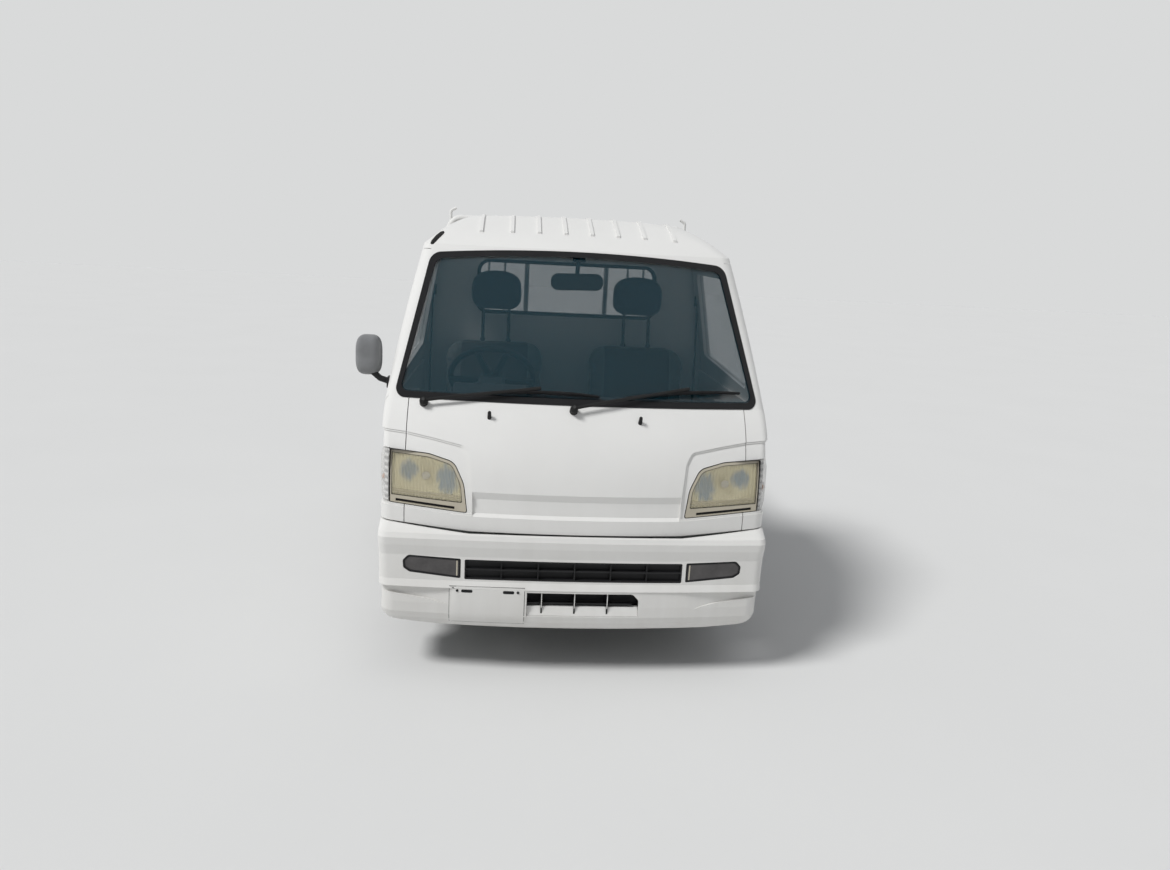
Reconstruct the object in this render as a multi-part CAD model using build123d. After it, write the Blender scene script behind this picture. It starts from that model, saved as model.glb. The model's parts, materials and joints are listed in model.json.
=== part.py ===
"""Kei truck: a full-cab light truck with a drop-side bed.

Millimetres. The origin is on the ground, on the centre plane, half-way along the truck.
The front faces -Y, +Z is up, and the driver sits on the -X side.
"""
import math
import os

from build123d import *

os.makedirs("parts", exist_ok=True)

# Overall sizes
LENGTH = 3395.0
WIDTH = 1475.0
HALF = WIDTH / 2
FRONT = -LENGTH / 2
REAR = LENGTH / 2

# Wheels
WHEELBASE = 1900.0
FRONT_OVERHANG = 840.0
TRACK_F = 1304.0
TRACK_R = 1300.0
TYRE_R = 272.0
TYRE_W = 145.0
RIM_R = 152.4
RIM_W = 114.0
AXLE_F = FRONT + FRONT_OVERHANG
AXLE_R = AXLE_F + WHEELBASE
AXLE_Z = TYRE_R
BOLT_CIRCLE_R = 57.0
NUTS = 4
HAND_HOLES = 10
HAND_HOLE_CIRCLE_R = 112.0
STUB_R = 17.0
RUN_GAP = 0.05
KNUCKLE_X = 520.0

# Cab
CAB_BACK = -365.0
BODY_HALF = 735.0
BELT_Z = 1050.0
ROOF_EDGE_Z = 1620.0
ROOF_TOP_Z = 1757.0
SCREEN_RAKE = 0.661
SKIN = 40.0
ROOF_T = 22.0
ROOF_DROP = 22.0
SEAM = 3.0
SEAM_X = 643.0
PILLAR_Y = -1475.0
FLOOR_LOW = 393.0
OUT_X = 760.0
OUT_Y = -1720.0
BUMPER_BACK = -1405.0
PANEL_LOW_Z = 581.0
LEDGE_Z = 611.0
CREASE_X = 437.0
BACK_WALL_T = 28.0

# Doors
DOOR_FRONT = -1395.0
DOOR_BACK = -450.0
DOOR_LOW = 398.0
DOOR_TOP = 1572.0
DOOR_GAP = 5.0
ARCH_R = 312.0
DOOR_ARCH_R = 338.0
DOOR_HINGE_X = 735.2
DOOR_HINGES = (560.0, 960.0)
DOOR_HINGE_H = 60.0
DOOR_HINGE_R = 2.2

# Windscreen and its rubber surround
SCREEN_LOW_X = 702.0
SCREEN_TOP_X = 598.0
SCREEN_LOW_Z = 1051.0
SCREEN_CORNER_Z = 1586.0
SCREEN_TOP_Z = 1615.0
SEAL_W = 22.0
GLASS_T = 5.0

# Frame
RAIL_X = 355.0
RAIL_W = 50.0
RAIL_LOW = 300.0
RAIL_H = 93.0
BED_RAIL_LOW = 520.0
LOW_MEMBERS = (-1520.0, -1250.0)
BED_MEMBERS = (-180.0, 300.0, 800.0, 1360.0, REAR - 90)
SPARE_Y = 1360.0
SPARE_Z = 452.0

# Bed
BED_FRONT = -283.0
BED_HALF = HALF - 6.0
TAIL_Y = REAR - 6.0
BED_BACK = TAIL_Y - 36.0
BED_FLOOR_Z = 660.0
BED_T = 18.0
GATE_T = 30.0
BEARERS = (-240.0, -45.0, 275.0, 600.0, 900.0, 1350.0, 1600.0)
GATE_LOW = 655.0
GATE_TOP = 948.0
GATE_GAP = 6.0
HINGE_Z = 649.0
HINGE_R = 6.0
SIDE_HINGES = (-150.0, 400.0, 860.0, 1510.0)
TAIL_HINGES = (-520.0, -180.0, 180.0, 520.0)
GUARD_TOP = 1760.0

# Seats and steering wheel
SEAT_X = 345.0
SEAT_W = 480.0
DECK_Z = 650.0
HOUSE_R = 356.0
WHEEL_HUB = (-343.0, -1110.0, 1080.0)
WHEEL_TILT = 51.0
WHEEL_RIM_R = 185.0

SIDE = Plane(origin=(0, 0, 0), x_dir=(0, 1, 0), z_dir=(1, 0, 0))
FACE = Plane(origin=(0, 0, 0), x_dir=(1, 0, 0), z_dir=(0, -1, 0))


def box(x0, x1, y0, y1, z0, z1):
    """A box from its low and high sides."""
    centre = Pos((x0 + x1) / 2, (y0 + y1) / 2, (z0 + z1) / 2)
    return centre * Box(x1 - x0, y1 - y0, z1 - z0)


def outline(points):
    """A closed face through (u, v) points; a third value rounds that corner."""
    corners = [(p[0], p[1]) for p in points]
    radii = [p[2] if len(p) > 2 else 0 for p in points]
    if max(radii) == 0:
        return make_face(Polyline(*corners, close=True))
    return make_face(FilletPolyline(*corners, radius=radii, close=True))


def side_solid(points, x0, x1):
    """An outline in Y, Z carried across from x0 to x1."""
    return extrude(SIDE.offset(x0) * outline(points), amount=x1 - x0)


def face_solid(points, y0, y1):
    """An outline in X, Z carried back from y0 to y1."""
    return extrude(FACE.offset(-y1) * outline(points), amount=y1 - y0)


def rod(start, end, radius):
    """A round bar from start to end."""
    line = Vector(*end) - Vector(*start)
    plane = Plane(origin=start, z_dir=line)
    return extrude(plane * Circle(radius), amount=line.length)


def cross_rod(x0, x1, y, z, radius):
    """A round bar along X."""
    return rod((x0, y, z), (x1, y, z), radius)


def tube_path(points, radius, bend):
    """A round bar bent through the points."""
    path = FilletPolyline(*points, radius=bend)
    start = Plane(origin=path @ 0, z_dir=path % 0)
    return sweep(start * Circle(radius), path=path)


def twin(part):
    """The part and its mirror image across the centre plane."""
    return part + mirror(part, about=Plane.YZ)


def mirrored(part):
    return mirror(part, about=Plane.YZ)


# Cab surface: plan sections from the sill to the roof

def plan_section(z, half, front, bow, corner, back):
    """Bowed front, two round corners and straight sides at height z."""
    reach = bow - corner
    inset = half - corner
    centre_y = front + bow - math.sqrt(reach ** 2 - inset ** 2)
    join = Vector(inset, centre_y - front - bow) * (bow / reach)
    join_x = join.X
    join_y = front + bow + join.Y
    to_join = math.atan2(join_y - centre_y, join_x - inset)
    mid_x = inset + corner * math.cos(to_join / 2)
    mid_y = centre_y + corner * math.sin(to_join / 2)
    edges = [
        ThreePointArc((-join_x, join_y), (0, front), (join_x, join_y)),
        ThreePointArc((join_x, join_y), (mid_x, mid_y), (half, centre_y)),
        Line((half, centre_y), (half, back)),
        Line((half, back), (-half, back)),
        Line((-half, back), (-half, centre_y)),
        ThreePointArc((-half, centre_y), (-mid_x, mid_y), (-join_x, join_y)),
    ]
    return Plane.XY.offset(z) * make_face(Wire(edges))


def screen_y(z):
    """Where the windscreen's centre line is at height z."""
    return -1550.0 + SCREEN_RAKE * (z - BELT_Z)


# z, half width, front, bow radius, corner radius
LOWER = [
    (300, BODY_HALF - 4, -1655, 3800, 60),
    (580, BODY_HALF, -1674, 3900, 50),
    (700, BODY_HALF + 1, -1674, 4000, 46),
    (867, BODY_HALF + 2, -1643, 4900, 34),
    (975, BODY_HALF + 2, -1596, 4800, 34),
    (BELT_Z, BODY_HALF, screen_y(BELT_Z), 3850, 45),
]
UPPER = [
    (BELT_Z, BODY_HALF, screen_y(BELT_Z), 3850, 45),
    (1335, 690, screen_y(1335), 4250, 48),
    (ROOF_EDGE_Z, 634, screen_y(ROOF_EDGE_Z), 4700, 55),
]
ROOF = [
    (ROOF_EDGE_Z, 634, screen_y(ROOF_EDGE_Z), 4700, 55),
    (1660, 592, -1108, 4700, 80),
    (1700, 548, -1010, 4700, 110),
    (1735, 488, -905, 4700, 150),
    (1768, 395, -780, 4700, 180),
]


def skin(sections, inset=0.0, forward=0.0, back=CAB_BACK):
    """Solid inside the cab surface, set in by inset at the sides and forward at the front."""
    faces = [
        plan_section(z, half - inset, front + forward, bow, max(corner - inset * 0.5, 12), back)
        for z, half, front, bow, corner in sections
    ]
    return loft(faces)


def arched_space(half, edge, middle, far, front, back):
    """Space between an arc over the centre plane and the level far, from front to back."""
    profile = Wire([
        ThreePointArc((-half, edge), (0, middle), (half, edge)),
        Line((half, edge), (half, far)),
        Line((half, far), (-half, far)),
        Line((-half, far), (-half, edge)),
    ])
    return extrude(FACE.offset(-back) * make_face(profile), amount=back - front)


def crown(top):
    """Space under the roof's cross curve."""
    return arched_space(640, top - ROOF_DROP, top, top - 400, -1600, -300)


lower_solid = skin(LOWER)
upper_solid = skin(UPPER)
lower_inner = skin(LOWER, SKIN, 34)
upper_inner = skin(UPPER, 30, 28, CAB_BACK - BACK_WALL_T)
raised_upper = skin(UPPER, -3, -3)
lower_wall = lower_solid - lower_inner
upper_wall = upper_solid - upper_inner
roof_inner_sections = [(z - ROOF_T, half, front, bow, corner) for z, half, front, bow, corner in ROOF]
roof_outer = skin(ROOF) & crown(ROOF_TOP_Z)
roof_space = skin(roof_inner_sections, 22, 24, CAB_BACK - BACK_WALL_T) & crown(ROOF_TOP_Z - ROOF_T)


def screen_outline(grow):
    """Windscreen surround seen from the front, smaller by a negative grow."""
    low_x = SCREEN_LOW_X + grow
    top_x = SCREEN_TOP_X + grow
    low_z = SCREEN_LOW_Z - grow
    corner_z = SCREEN_CORNER_Z + grow
    arc = ThreePointArc((top_x, corner_z), (0, SCREEN_TOP_Z + grow), (-top_x, corner_z))
    wire = Wire([
        Line((-low_x, low_z), (low_x, low_z)),
        Line((low_x, low_z), (top_x, corner_z)),
        arc,
        Line((-top_x, corner_z), (-low_x, low_z)),
    ])
    face = make_face(wire)
    corners = face.vertices().sort_by(Axis.Y)
    face = fillet(corners[:2], 34 + grow * 0.5)
    corners = face.vertices().sort_by(Axis.Y)
    return fillet(corners[-2:], 52 + grow * 0.5)


def screen_prism(grow):
    return extrude(FACE.offset(950) * screen_outline(grow), amount=750)


DOOR_POINTS = [
    (DOOR_FRONT, DOOR_LOW, 24),
    (DOOR_FRONT, 1066, 60),
    (-1062, DOOR_TOP, 70),
    (DOOR_BACK, DOOR_TOP, 26),
    (DOOR_BACK, 612, 30),
    (AXLE_F, 612),
    (AXLE_F - DOOR_ARCH_R - 6, 560),
    (AXLE_F - DOOR_ARCH_R - 6, DOOR_LOW, 20),
]
WINDOW_POINTS = [
    (-1322, 1096, 26),
    (-1036, 1530, 46),
    (-494, 1534, 34),
    (-494, 1142, 34),
]


def grown(points, amount):
    """A side outline moved outwards by amount."""
    return offset(outline(points), amount=amount)


def side_cut(face, x0, x1):
    return extrude(SIDE.offset(x0) * face, amount=x1 - x0)


def arch_cut(radius, x0, x1, y):
    """A wheel arch's space: a cylinder round an axle line."""
    return cross_rod(x0, x1, y, AXLE_Z, radius)


door_zone = side_cut(outline(DOOR_POINTS), 480, OUT_X)
door_zone = door_zone - arch_cut(DOOR_ARCH_R, 470, 770, AXLE_F)
hole_zone = side_cut(grown(DOOR_POINTS, DOOR_GAP), 480, OUT_X)
hole_zone = hole_zone - arch_cut(DOOR_ARCH_R - DOOR_GAP, 470, 770, AXLE_F)
window_zone = side_cut(outline(WINDOW_POINTS), 470, 770)


# Doors

def door():
    """One +X door: outer skin, frame and inner trim in one thickness, window cut out."""
    lower = lower_wall & door_zone
    upper = upper_wall & door_zone
    body = lower + upper - window_zone
    handle_pocket = box(726, OUT_X, -600, -490, 985, 1035)
    bar = box(724, 734, -596, -494, 1000, 1022)
    armrest = box(652, 702, -1050, -640, 880, 915)
    pull = box(664, 702, -1000, -880, 960, 985)
    return body - handle_pocket + bar + armrest + pull


def door_glass():
    pane = skin(UPPER, 11, 11) - skin(UPPER, 16, 16)
    low = skin(LOWER, 11, 11) - skin(LOWER, 16, 16)
    return (pane & window_zone) + (low & window_zone)


# Lamps and front panels

HEADLAMP_POINTS = [
    (698, 674),
    (698, 872),
    (556, 862, 120),
    (462, 836, 50),
    (424, 758, 120),
    (410, 650, 8),
]


def lamp_zone(grow):
    face = outline(HEADLAMP_POINTS)
    if grow:
        face = offset(face, amount=grow)
    return extrude(FACE.offset(1450) * face, amount=300)


def corner_zone(grow):
    return box(702 - grow, 770, -1700, -1500 + grow, 674 - grow, 874 + grow)


def bumper_line(drop=0.0):
    """Space above the bumper's top edge, which rises towards the corners."""
    low = PANEL_LOW_Z - drop
    high = LEDGE_Z - drop
    points = [(-770, high), (-400, low), (400, low), (770, high), (770, BELT_Z), (-770, BELT_Z)]
    return face_solid(points, OUT_Y, -1300)


# Edge of the recess round the +X headlamp
SWAGE = [
    (387, 641),
    (396, 764),
    (406, 855, 24),
    (428, 898, 30),
    (540, 920, 60),
    (644, 937, 60),
    (780, 948),
    (780, 668),
    (700, 664),
    (420, 641),
]


def swage():
    """Recess round the +X headlamp, in two steps."""
    step = lower_solid - skin(LOWER, 4, 4)
    floor = lower_solid - skin(LOWER, 8, 8)
    rim = outline(SWAGE)
    wide = extrude(FACE.offset(1450) * rim, amount=300)
    narrow = extrude(FACE.offset(1450) * offset(rim, amount=-7), amount=300)
    return (step & wide) + (floor & narrow)


# Depth of the sunk panel between the lamps: z, front
RECESS = [
    (630, -1680),
    (638, -1674),
    (650, -1663),
    (704, -1662),
    (736, -1673),
    (744, -1680),
]

swage_cut = swage()
front_wall = (lower_wall - swage_cut - mirrored(swage_cut)) & bumper_line()


def front_panel():
    """Centre panel from the bumper to the windscreen, with its sunk panel between the lamps."""
    zone = box(-SEAM_X + SEAM / 2, SEAM_X - SEAM / 2, OUT_Y, PILLAR_Y, PANEL_LOW_Z - 1, BELT_Z)
    body = front_wall & zone
    core = loft([plan_section(z, 600, front, 4000, 20, -1500) for z, front in RECESS], ruled=True)
    window = face_solid([(-389, 638), (-392, 736), (392, 736), (389, 638)], OUT_Y, -1600)
    body = body - (window - core)
    body = body - twin(lamp_zone(2)) - screen_prism(0)
    return body


def corner_panel():
    zone = box(SEAM_X + SEAM / 2, OUT_X, OUT_Y, PILLAR_Y, PANEL_LOW_Z - 1, BELT_Z)
    body = front_wall & zone
    body = body - hole_zone - lamp_zone(2) - corner_zone(2) - screen_prism(0)
    return body


def header_zone(low, high):
    """Space of the beam above the windscreen."""
    return box(-600, 600, OUT_Y, -1000, low, high)


def side_frame():
    """A-pillar, rear quarter, sill and arch of the +X side."""
    lower = lower_wall & box(500, OUT_X, PILLAR_Y + SEAM, CAB_BACK - BACK_WALL_T - SEAM, 300, BELT_Z)
    lower = lower - box(600, OUT_X, OUT_Y, BUMPER_BACK + SEAM, 299, LEDGE_Z)
    skirt = skin(LOWER, 20, 30) - lower_inner
    skirt = skirt & box(SEAM_X, OUT_X, OUT_Y, BUMPER_BACK + SEAM, 300, PANEL_LOW_Z)
    flange = box(640, BODY_HALF - SKIN, DOOR_FRONT, -1192, 372, FLOOR_LOW)
    lower = lower + flange
    upper = upper_wall & box(480, OUT_X, OUT_Y, CAB_BACK - BACK_WALL_T - SEAM, BELT_Z, ROOF_EDGE_Z - 22)
    upper = upper - header_zone(1400, 1700)
    body = lower + skirt + upper
    body = body - hole_zone - screen_prism(0)
    body = body - arch_cut(ARCH_R, 400, 800, AXLE_F)
    hinge_y = DOOR_FRONT - DOOR_GAP / 2
    for z in DOOR_HINGES:
        top = z + DOOR_HINGE_H
        pin = rod((DOOR_HINGE_X, hinge_y, z), (DOOR_HINGE_X, hinge_y, top), DOOR_HINGE_R)
        tab = box(DOOR_HINGE_X - 12, DOOR_HINGE_X - 1, hinge_y - 3, hinge_y, z, top)
        body = body + pin + tab
    return body


def roof():
    """Roof shell, its rim, the header above the windscreen and the lengthwise beads."""
    rim = upper_wall & box(-OUT_X, OUT_X, OUT_Y, CAB_BACK, ROOF_EDGE_Z - 20, ROOF_EDGE_Z)
    header = upper_wall & header_zone(1500, ROOF_EDGE_Z)
    top = roof_outer - roof_space
    body = top + rim + header - screen_prism(0)
    bead_skin = roof_outer_raised - roof_outer
    for x in ROOF_BEADS:
        bead_zone = box(x - BEAD_W / 2, x + BEAD_W / 2, -1060, CAB_BACK - 40, 1600, 1800)
        body = body + (bead_zone & bead_skin)
    return body


ROOF_BEADS = (-405, -277, -165, -55, 55, 165, 277, 405)
BEAD_W = 14.0
roof_raised_sections = [(z + 6, half + 6, front - 6, bow, corner) for z, half, front, bow, corner in ROOF]
roof_outer_raised = skin(roof_raised_sections) & crown(ROOF_TOP_Z + 5)


def rear_panel():
    """Back wall of the cab with its window opening and cross ribs."""
    wall_y = CAB_BACK - BACK_WALL_T
    low = skin(LOWER) & box(-OUT_X, OUT_X, wall_y, CAB_BACK, 420, BELT_Z)
    up = skin(UPPER) & box(-OUT_X, OUT_X, wall_y, CAB_BACK, BELT_Z, ROOF_EDGE_Z - 22)
    body = low + up - box(-386, 386, wall_y - 1, CAB_BACK + 1, 400, DECK_Z - 18)
    body = body - face_solid(REAR_WINDOW, CAB_BACK - 60, CAB_BACK + 20)
    for z in (520, 640, 760, 880, 1000, 1110):
        body = body - box(-600, 600, CAB_BACK - 5, CAB_BACK + 5, z, z + 60)
    return body


REAR_WINDOW = [(-452, 1292, 60), (452, 1292, 60), (440, 1556, 60), (-440, 1556, 60)]


def windscreen():
    pane = skin(UPPER, 6, 6) - skin(UPPER, 6 + GLASS_T, 6 + GLASS_T)
    cap = skin(ROOF, 6, 6) - skin(ROOF, 6 + GLASS_T, 6 + GLASS_T)
    return (pane + cap) & screen_prism(-SEAL_W)


def window_seals():
    """Rubber frames of the windscreen and the rear window."""
    band = raised_upper - skin(UPPER, 24, 24)
    front = band & (screen_prism(0) - screen_prism(-SEAL_W))
    ring = face_solid(REAR_WINDOW, CAB_BACK - 34, CAB_BACK + 4)
    hole = offset(outline(REAR_WINDOW), amount=-16)
    ring = ring - extrude(FACE.offset(-CAB_BACK - 100) * hole, amount=200)
    return front, ring


def rear_window():
    hole = offset(outline(REAR_WINDOW), amount=-16)
    return extrude(FACE.offset(-CAB_BACK + 12) * hole, amount=GLASS_T)


# Bumper

# z, half width, front, bow radius, corner radius
CHIN = [
    (188, 698, -1634, 5200, 100),
    (204, 716, -1664, 5200, 85),
    (232, 727, -1682, 5200, 70),
    (258, 731, -1690, 5400, 62),
    (300, 727, -1693, 5800, 56),
    (366, 727, -1695, 6000, 50),
]
BAND = [
    (366, 735, FRONT, 7500, 44),
    (392, 735, -1687, 8000, 42),
    (488, 736, -1687, 8500, 40),
    (528, HALF, -1695, 8800, 38),
    (556, HALF, FRONT, 9000, 36),
]
LEDGE = [
    (556, HALF, FRONT, 9000, 36),
    (574, 736.5, -1692, 8000, 38),
    (LEDGE_Z + 4, BODY_HALF, -1660, 3900, 46),
]
SLOT_LOW = 399.0
SLOT_HIGH = 478.0
SLOT = [(-412, SLOT_LOW, 6), (-412, SLOT_HIGH, 6), (412, SLOT_HIGH, 6), (412, SLOT_LOW, 6)]
INTAKE = [(-176, 262), (-176, 356), (226, 356, 24), (250, 330, 20), (250, 262)]
BUMPER_LAMP = [
    (426, 402, 6),
    (426, 480, 6),
    (622, 488, 20),
    (642, 466, 12),
    (640, 436, 14),
    (616, 420, 12),
]
SCOOP = [
    (CREASE_X, 246),
    (CREASE_X, 365),
    (OUT_X, 365),
    (OUT_X, 340),
    (682, 334, 60),
    (544, 317, 60),
    (476, 298, 40),
]


def bumper_skin(sections, inset, forward):
    """Solid inside the bumper's surface; an inner one also runs out at the back."""
    back = BUMPER_BACK + (40 if inset > 0 else 0)
    faces = [
        plan_section(z, half - inset, front + forward, bow, corner - inset * 0.5, back)
        for z, half, front, bow, corner in sections
    ]
    return loft(faces, ruled=True)


def bumper_stack(inset, forward):
    return [bumper_skin(sections, inset, forward) for sections in (CHIN, BAND, LEDGE)]


def scoop(back, grow):
    """Wedge in front of the swept facet beside the +X crease; back and grow set the inner face."""
    face = extrude(FACE.offset(1450) * offset(outline(SCOOP), amount=grow), amount=300)
    near = -1679.0 + back
    far = -1626.0 + back
    near_x = CREASE_X - 10
    plan = Polyline((near_x, -1760), (near_x, near), (780, far), (780, -1760), close=True)
    wedge = extrude(Plane.XY.offset(200) * make_face(plan), amount=200)
    return face & wedge


def bumper():
    outer = Part() + bumper_stack(0, 0) - twin(scoop(0, 0.01))
    inner = Part() + bumper_stack(7, 9) - twin(scoop(9, 7))
    body = outer - inner - bumper_line(4)
    body = body - arched_space(OUT_X, 226, 186, 150, OUT_Y, BUMPER_BACK + 100)
    lamps = twin(face_solid(BUMPER_LAMP, OUT_Y, -1560))
    body = body - lamps - face_solid(SLOT, OUT_Y, -1560) - face_solid(INTAKE, OUT_Y, -1560)
    holder = face_solid([(-465, 222, 6), (-465, 366, 6), (-177, 366), (-177, 222)], OUT_Y, -1560)
    plate = (holder & bumper_skin(CHIN, -3, -2)) - inner
    return body + plate


def grille():
    """Slats behind the slot and dividers behind the lower intake."""
    half = 412
    top = box(-half, half, -1690, -1660, SLOT_HIGH - 8, SLOT_HIGH)
    low = box(-half, half, -1690, -1660, SLOT_LOW, SLOT_LOW + 6)
    mid = box(-half, half, -1680, -1664, 436, 442)
    back = box(-half, half, -1660, -1654, SLOT_LOW, SLOT_HIGH)
    upper = top + low + mid + back
    for x in (-409, -275, -137, 0, 137, 275, 409):
        upper = upper + box(x - 2, x + 2, -1690, -1660, SLOT_LOW, SLOT_HIGH)
    upper = upper & bumper_skin(BAND, 3, 3)
    lower = box(-184, 258, -1690, -1634, 254, 364) - box(-176, 250, -1691, -1640, 262, 356)
    for x in (-120, 5, 130):
        lower = lower + box(x - 3, x + 3, -1690, -1634, 260, 358)
    lower = lower + box(-176, 226, -1676, -1660, 306, 312)
    lower = lower & bumper_skin(CHIN, 6, 6)
    return upper - bumper_body, lower - bumper_body


def bumper_lamps():
    lens = bumper_skin(BAND, 3, 3) - bumper_skin(BAND, 20, 24)
    return lens & face_solid(BUMPER_LAMP, OUT_Y, -1560)


# Cab inside

def cab_floor():
    """Floor pan, wheel houses, seat deck and toe board."""
    half = BODY_HALF - SKIN - 6
    pan = box(-half, half, -1510, -1195, FLOOR_LOW, FLOOR_LOW + 18)
    deck = box(-half, half, AXLE_F, CAB_BACK - 30, DECK_Z - 18, DECK_Z)
    ring = arch_cut(HOUSE_R + 18, -half, half, AXLE_F) - arch_cut(HOUSE_R, -half - 1, half + 1, AXLE_F)
    ring = ring & box(-half, half, -1300, AXLE_F, FLOOR_LOW, DECK_Z)
    toe = side_solid([(-1510, FLOOR_LOW), (-1596, 600), (-1596, 640), (-1580, 640), (-1580, 603),
                      (-1492, FLOOR_LOW)], -600, 600)
    end = box(395, half, -400, -382, 400, DECK_Z - 18)
    body = pan + deck + ring + toe + twin(end)
    tunnel = box(-150, 150, -1192, -1030, FLOOR_LOW, 660) - box(-132, 132, -1193, -1029, 380, 642)
    body = body + tunnel
    body = body & skin(LOWER, SKIN + 6, 36, CAB_BACK - BACK_WALL_T)
    return body


def dashboard():
    profile = [(-1560, 1020), (-1300, 1046, 20), (-1222, 1010, 30), (-1236, 850, 30),
               (-1330, 740, 30), (-1560, 700)]
    body = side_solid(profile, -688, 688)
    body = body & skin(LOWER, SKIN + 2, 36)
    hood = side_solid([(-1420, 1030), (-1300, 1082, 20), (-1215, 1066, 14), (-1225, 1000)], -490, -200)
    glove = box(330, 600, -1240, -1200, 800, 900)
    return body + hood - glove - steering_column()


def column_frame():
    """Plane at the steering wheel's hub, its normal along the column towards the driver."""
    tilt = math.radians(WHEEL_TILT)
    return Plane(origin=WHEEL_HUB, x_dir=(1, 0, 0), z_dir=(0, math.sin(tilt), math.cos(tilt)))


def steering_wheel():
    at = column_frame()
    rim = revolve(at * Plane.XZ * (Pos(WHEEL_RIM_R - 13, 0) * Circle(13)), axis=Axis(at.origin, at.z_dir))
    hub = extrude(at.offset(-34) * Circle(48), amount=30)
    body = rim + hub
    for angle in (0, 180, 250, 290):
        turn = Rot(0, 0, angle)
        spoke = Pos(104, 0, -16) * Box(138, 24, 12)
        body = body + at * turn * spoke
    return body


def steering_column():
    at = column_frame()
    shaft = extrude(at.offset(-36) * Circle(20), amount=-420)
    cowl = extrude(at.offset(-40) * RectangleRounded(110, 96, 20), amount=-170)
    stalks = at * (Pos(0, 20, -60) * Box(330, 14, 12))
    return shaft + cowl + stalks


# Side outlines of the seat: y, z, corner radius
SEAT_CUSHION = [(-1030, 690, 30), (-1040, 790, 40), (-980, 816, 40), (-600, 788, 10), (-600, 690, 10)]
SEAT_BACK = [
    (-560, 735, 30),
    (-640, 770, 30),
    (-556, 1160, 50),
    (-448, 1178, 46),
    (-440, 1120, 30),
    (-520, 735, 20),
]
HEAD_REST = [(-492, 1322, 24), (-486, 1496, 34), (-414, 1496, 34), (-420, 1322, 24)]
HEAD_REST_HALF = 118.0
POST_X = 55.0


def seat(x):
    low = x - SEAT_W / 2
    high = x + SEAT_W / 2
    body = box(low + 30, high - 30, -1000, -560, DECK_Z, 690)
    body = body + side_solid(SEAT_CUSHION, low, high) + side_solid(SEAT_BACK, low, high)
    body = body + side_solid(HEAD_REST, x - HEAD_REST_HALF, x + HEAD_REST_HALF)
    for post in (x - POST_X, x + POST_X):
        body = body + rod((post, -488, 1150), (post, -452, 1340), 6)
    return body


def cab_controls():
    """Gear lever, handbrake and the three pedals with their arms."""
    gear = rod((20, -1110, 672), (20, -1060, 900), 8) + Pos(20, -1059, 905) * Sphere(24)
    gear_base = box(-60, 100, -1180, -1040, 660, 676)
    brake = rod((-40, -700, 670), (-40, -900, 790), 13) + box(-62, -18, -760, -640, DECK_Z, 700)
    pedals = []
    for x in (-430, -340, -245):
        arm = rod((x, -1530, 740), (x, -1440, 590), 9) - dashboard()
        pad = Pos(x, -1434, 580) * Rot(-35, 0, 0) * Box(58, 14, 56)
        pedals.append(arm + pad)
    return [gear + gear_base, brake] + pedals


def room_mirror():
    body = face_solid([(-112, 1456, 30), (-112, 1524, 30), (104, 1530, 30), (104, 1462, 30)], -1128, -1098)
    stem = rod((-4, -1110, 1520), (-4, -1140, 1590), 9)
    foot = Pos(-4, -1146, 1597) * Box(40, 30, 12)
    return body + stem + foot - roof_body


# Wipers: pivot, elbow on the blade and blade ends

WIPERS = [
    ((-585, -1516, 1036), (-110, 1072), (-400, 105)),
    ((-28, -1562, 1032), (400, 1092), (110, 619)),
]


def glass_point(x, z, clear):
    """A point above the windscreen, clear of its outer face."""
    share = (z - BELT_Z) / (ROOF_EDGE_Z - BELT_Z)
    bow = 3850 + share * 850
    y = screen_y(z) + bow - math.sqrt(bow ** 2 - x ** 2)
    return Vector(x, y - clear, z + clear * 0.4)


def wiper(pivot, elbow, blade):
    base = Vector(*pivot)
    knob = rod(base + Vector(0, 14, -8), base + Vector(0, -24, 14), 14)
    mid = glass_point(elbow[0], elbow[1], 26)
    arm = rod(base + Vector(0, -18, 10), mid, 6)
    lift = (elbow[1] - 1050) / (elbow[0] - pivot[0])
    ends = [glass_point(x, elbow[1] + (x - elbow[0]) * lift * 0.8, 13) for x in blade]
    rubber = rod(ends[0], ends[1], 6)
    link = rod(mid, glass_point(elbow[0], elbow[1], 12), 5)
    return knob + arm + rubber + link - lower_solid - raised_upper


# Chassis

RAIL_LINE = [(-1594, RAIL_LOW), (-400, RAIL_LOW), (-250, BED_RAIL_LOW), (REAR - 60, BED_RAIL_LOW),
             (REAR - 60, BED_RAIL_LOW + RAIL_H), (-290, BED_RAIL_LOW + RAIL_H), (-440, RAIL_LOW + RAIL_H),
             (-1594, RAIL_LOW + RAIL_H)]


def frame_rail():
    """The +X side rail, kicked up behind the cab."""
    return side_solid(RAIL_LINE, RAIL_X - RAIL_W / 2, RAIL_X + RAIL_W / 2)


def cross_members():
    """Bars between the two rails."""
    half = RAIL_X - RAIL_W / 2
    low = [box(-half, half, y - 30, y + 30, RAIL_LOW + 10, RAIL_LOW + 70) for y in LOW_MEMBERS]
    high = [box(-half, half, y - 25, y + 25, BED_RAIL_LOW + 15, BED_RAIL_LOW + 75) for y in BED_MEMBERS]
    return low + high


STRUT_TOP = DECK_Z - 18


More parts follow.
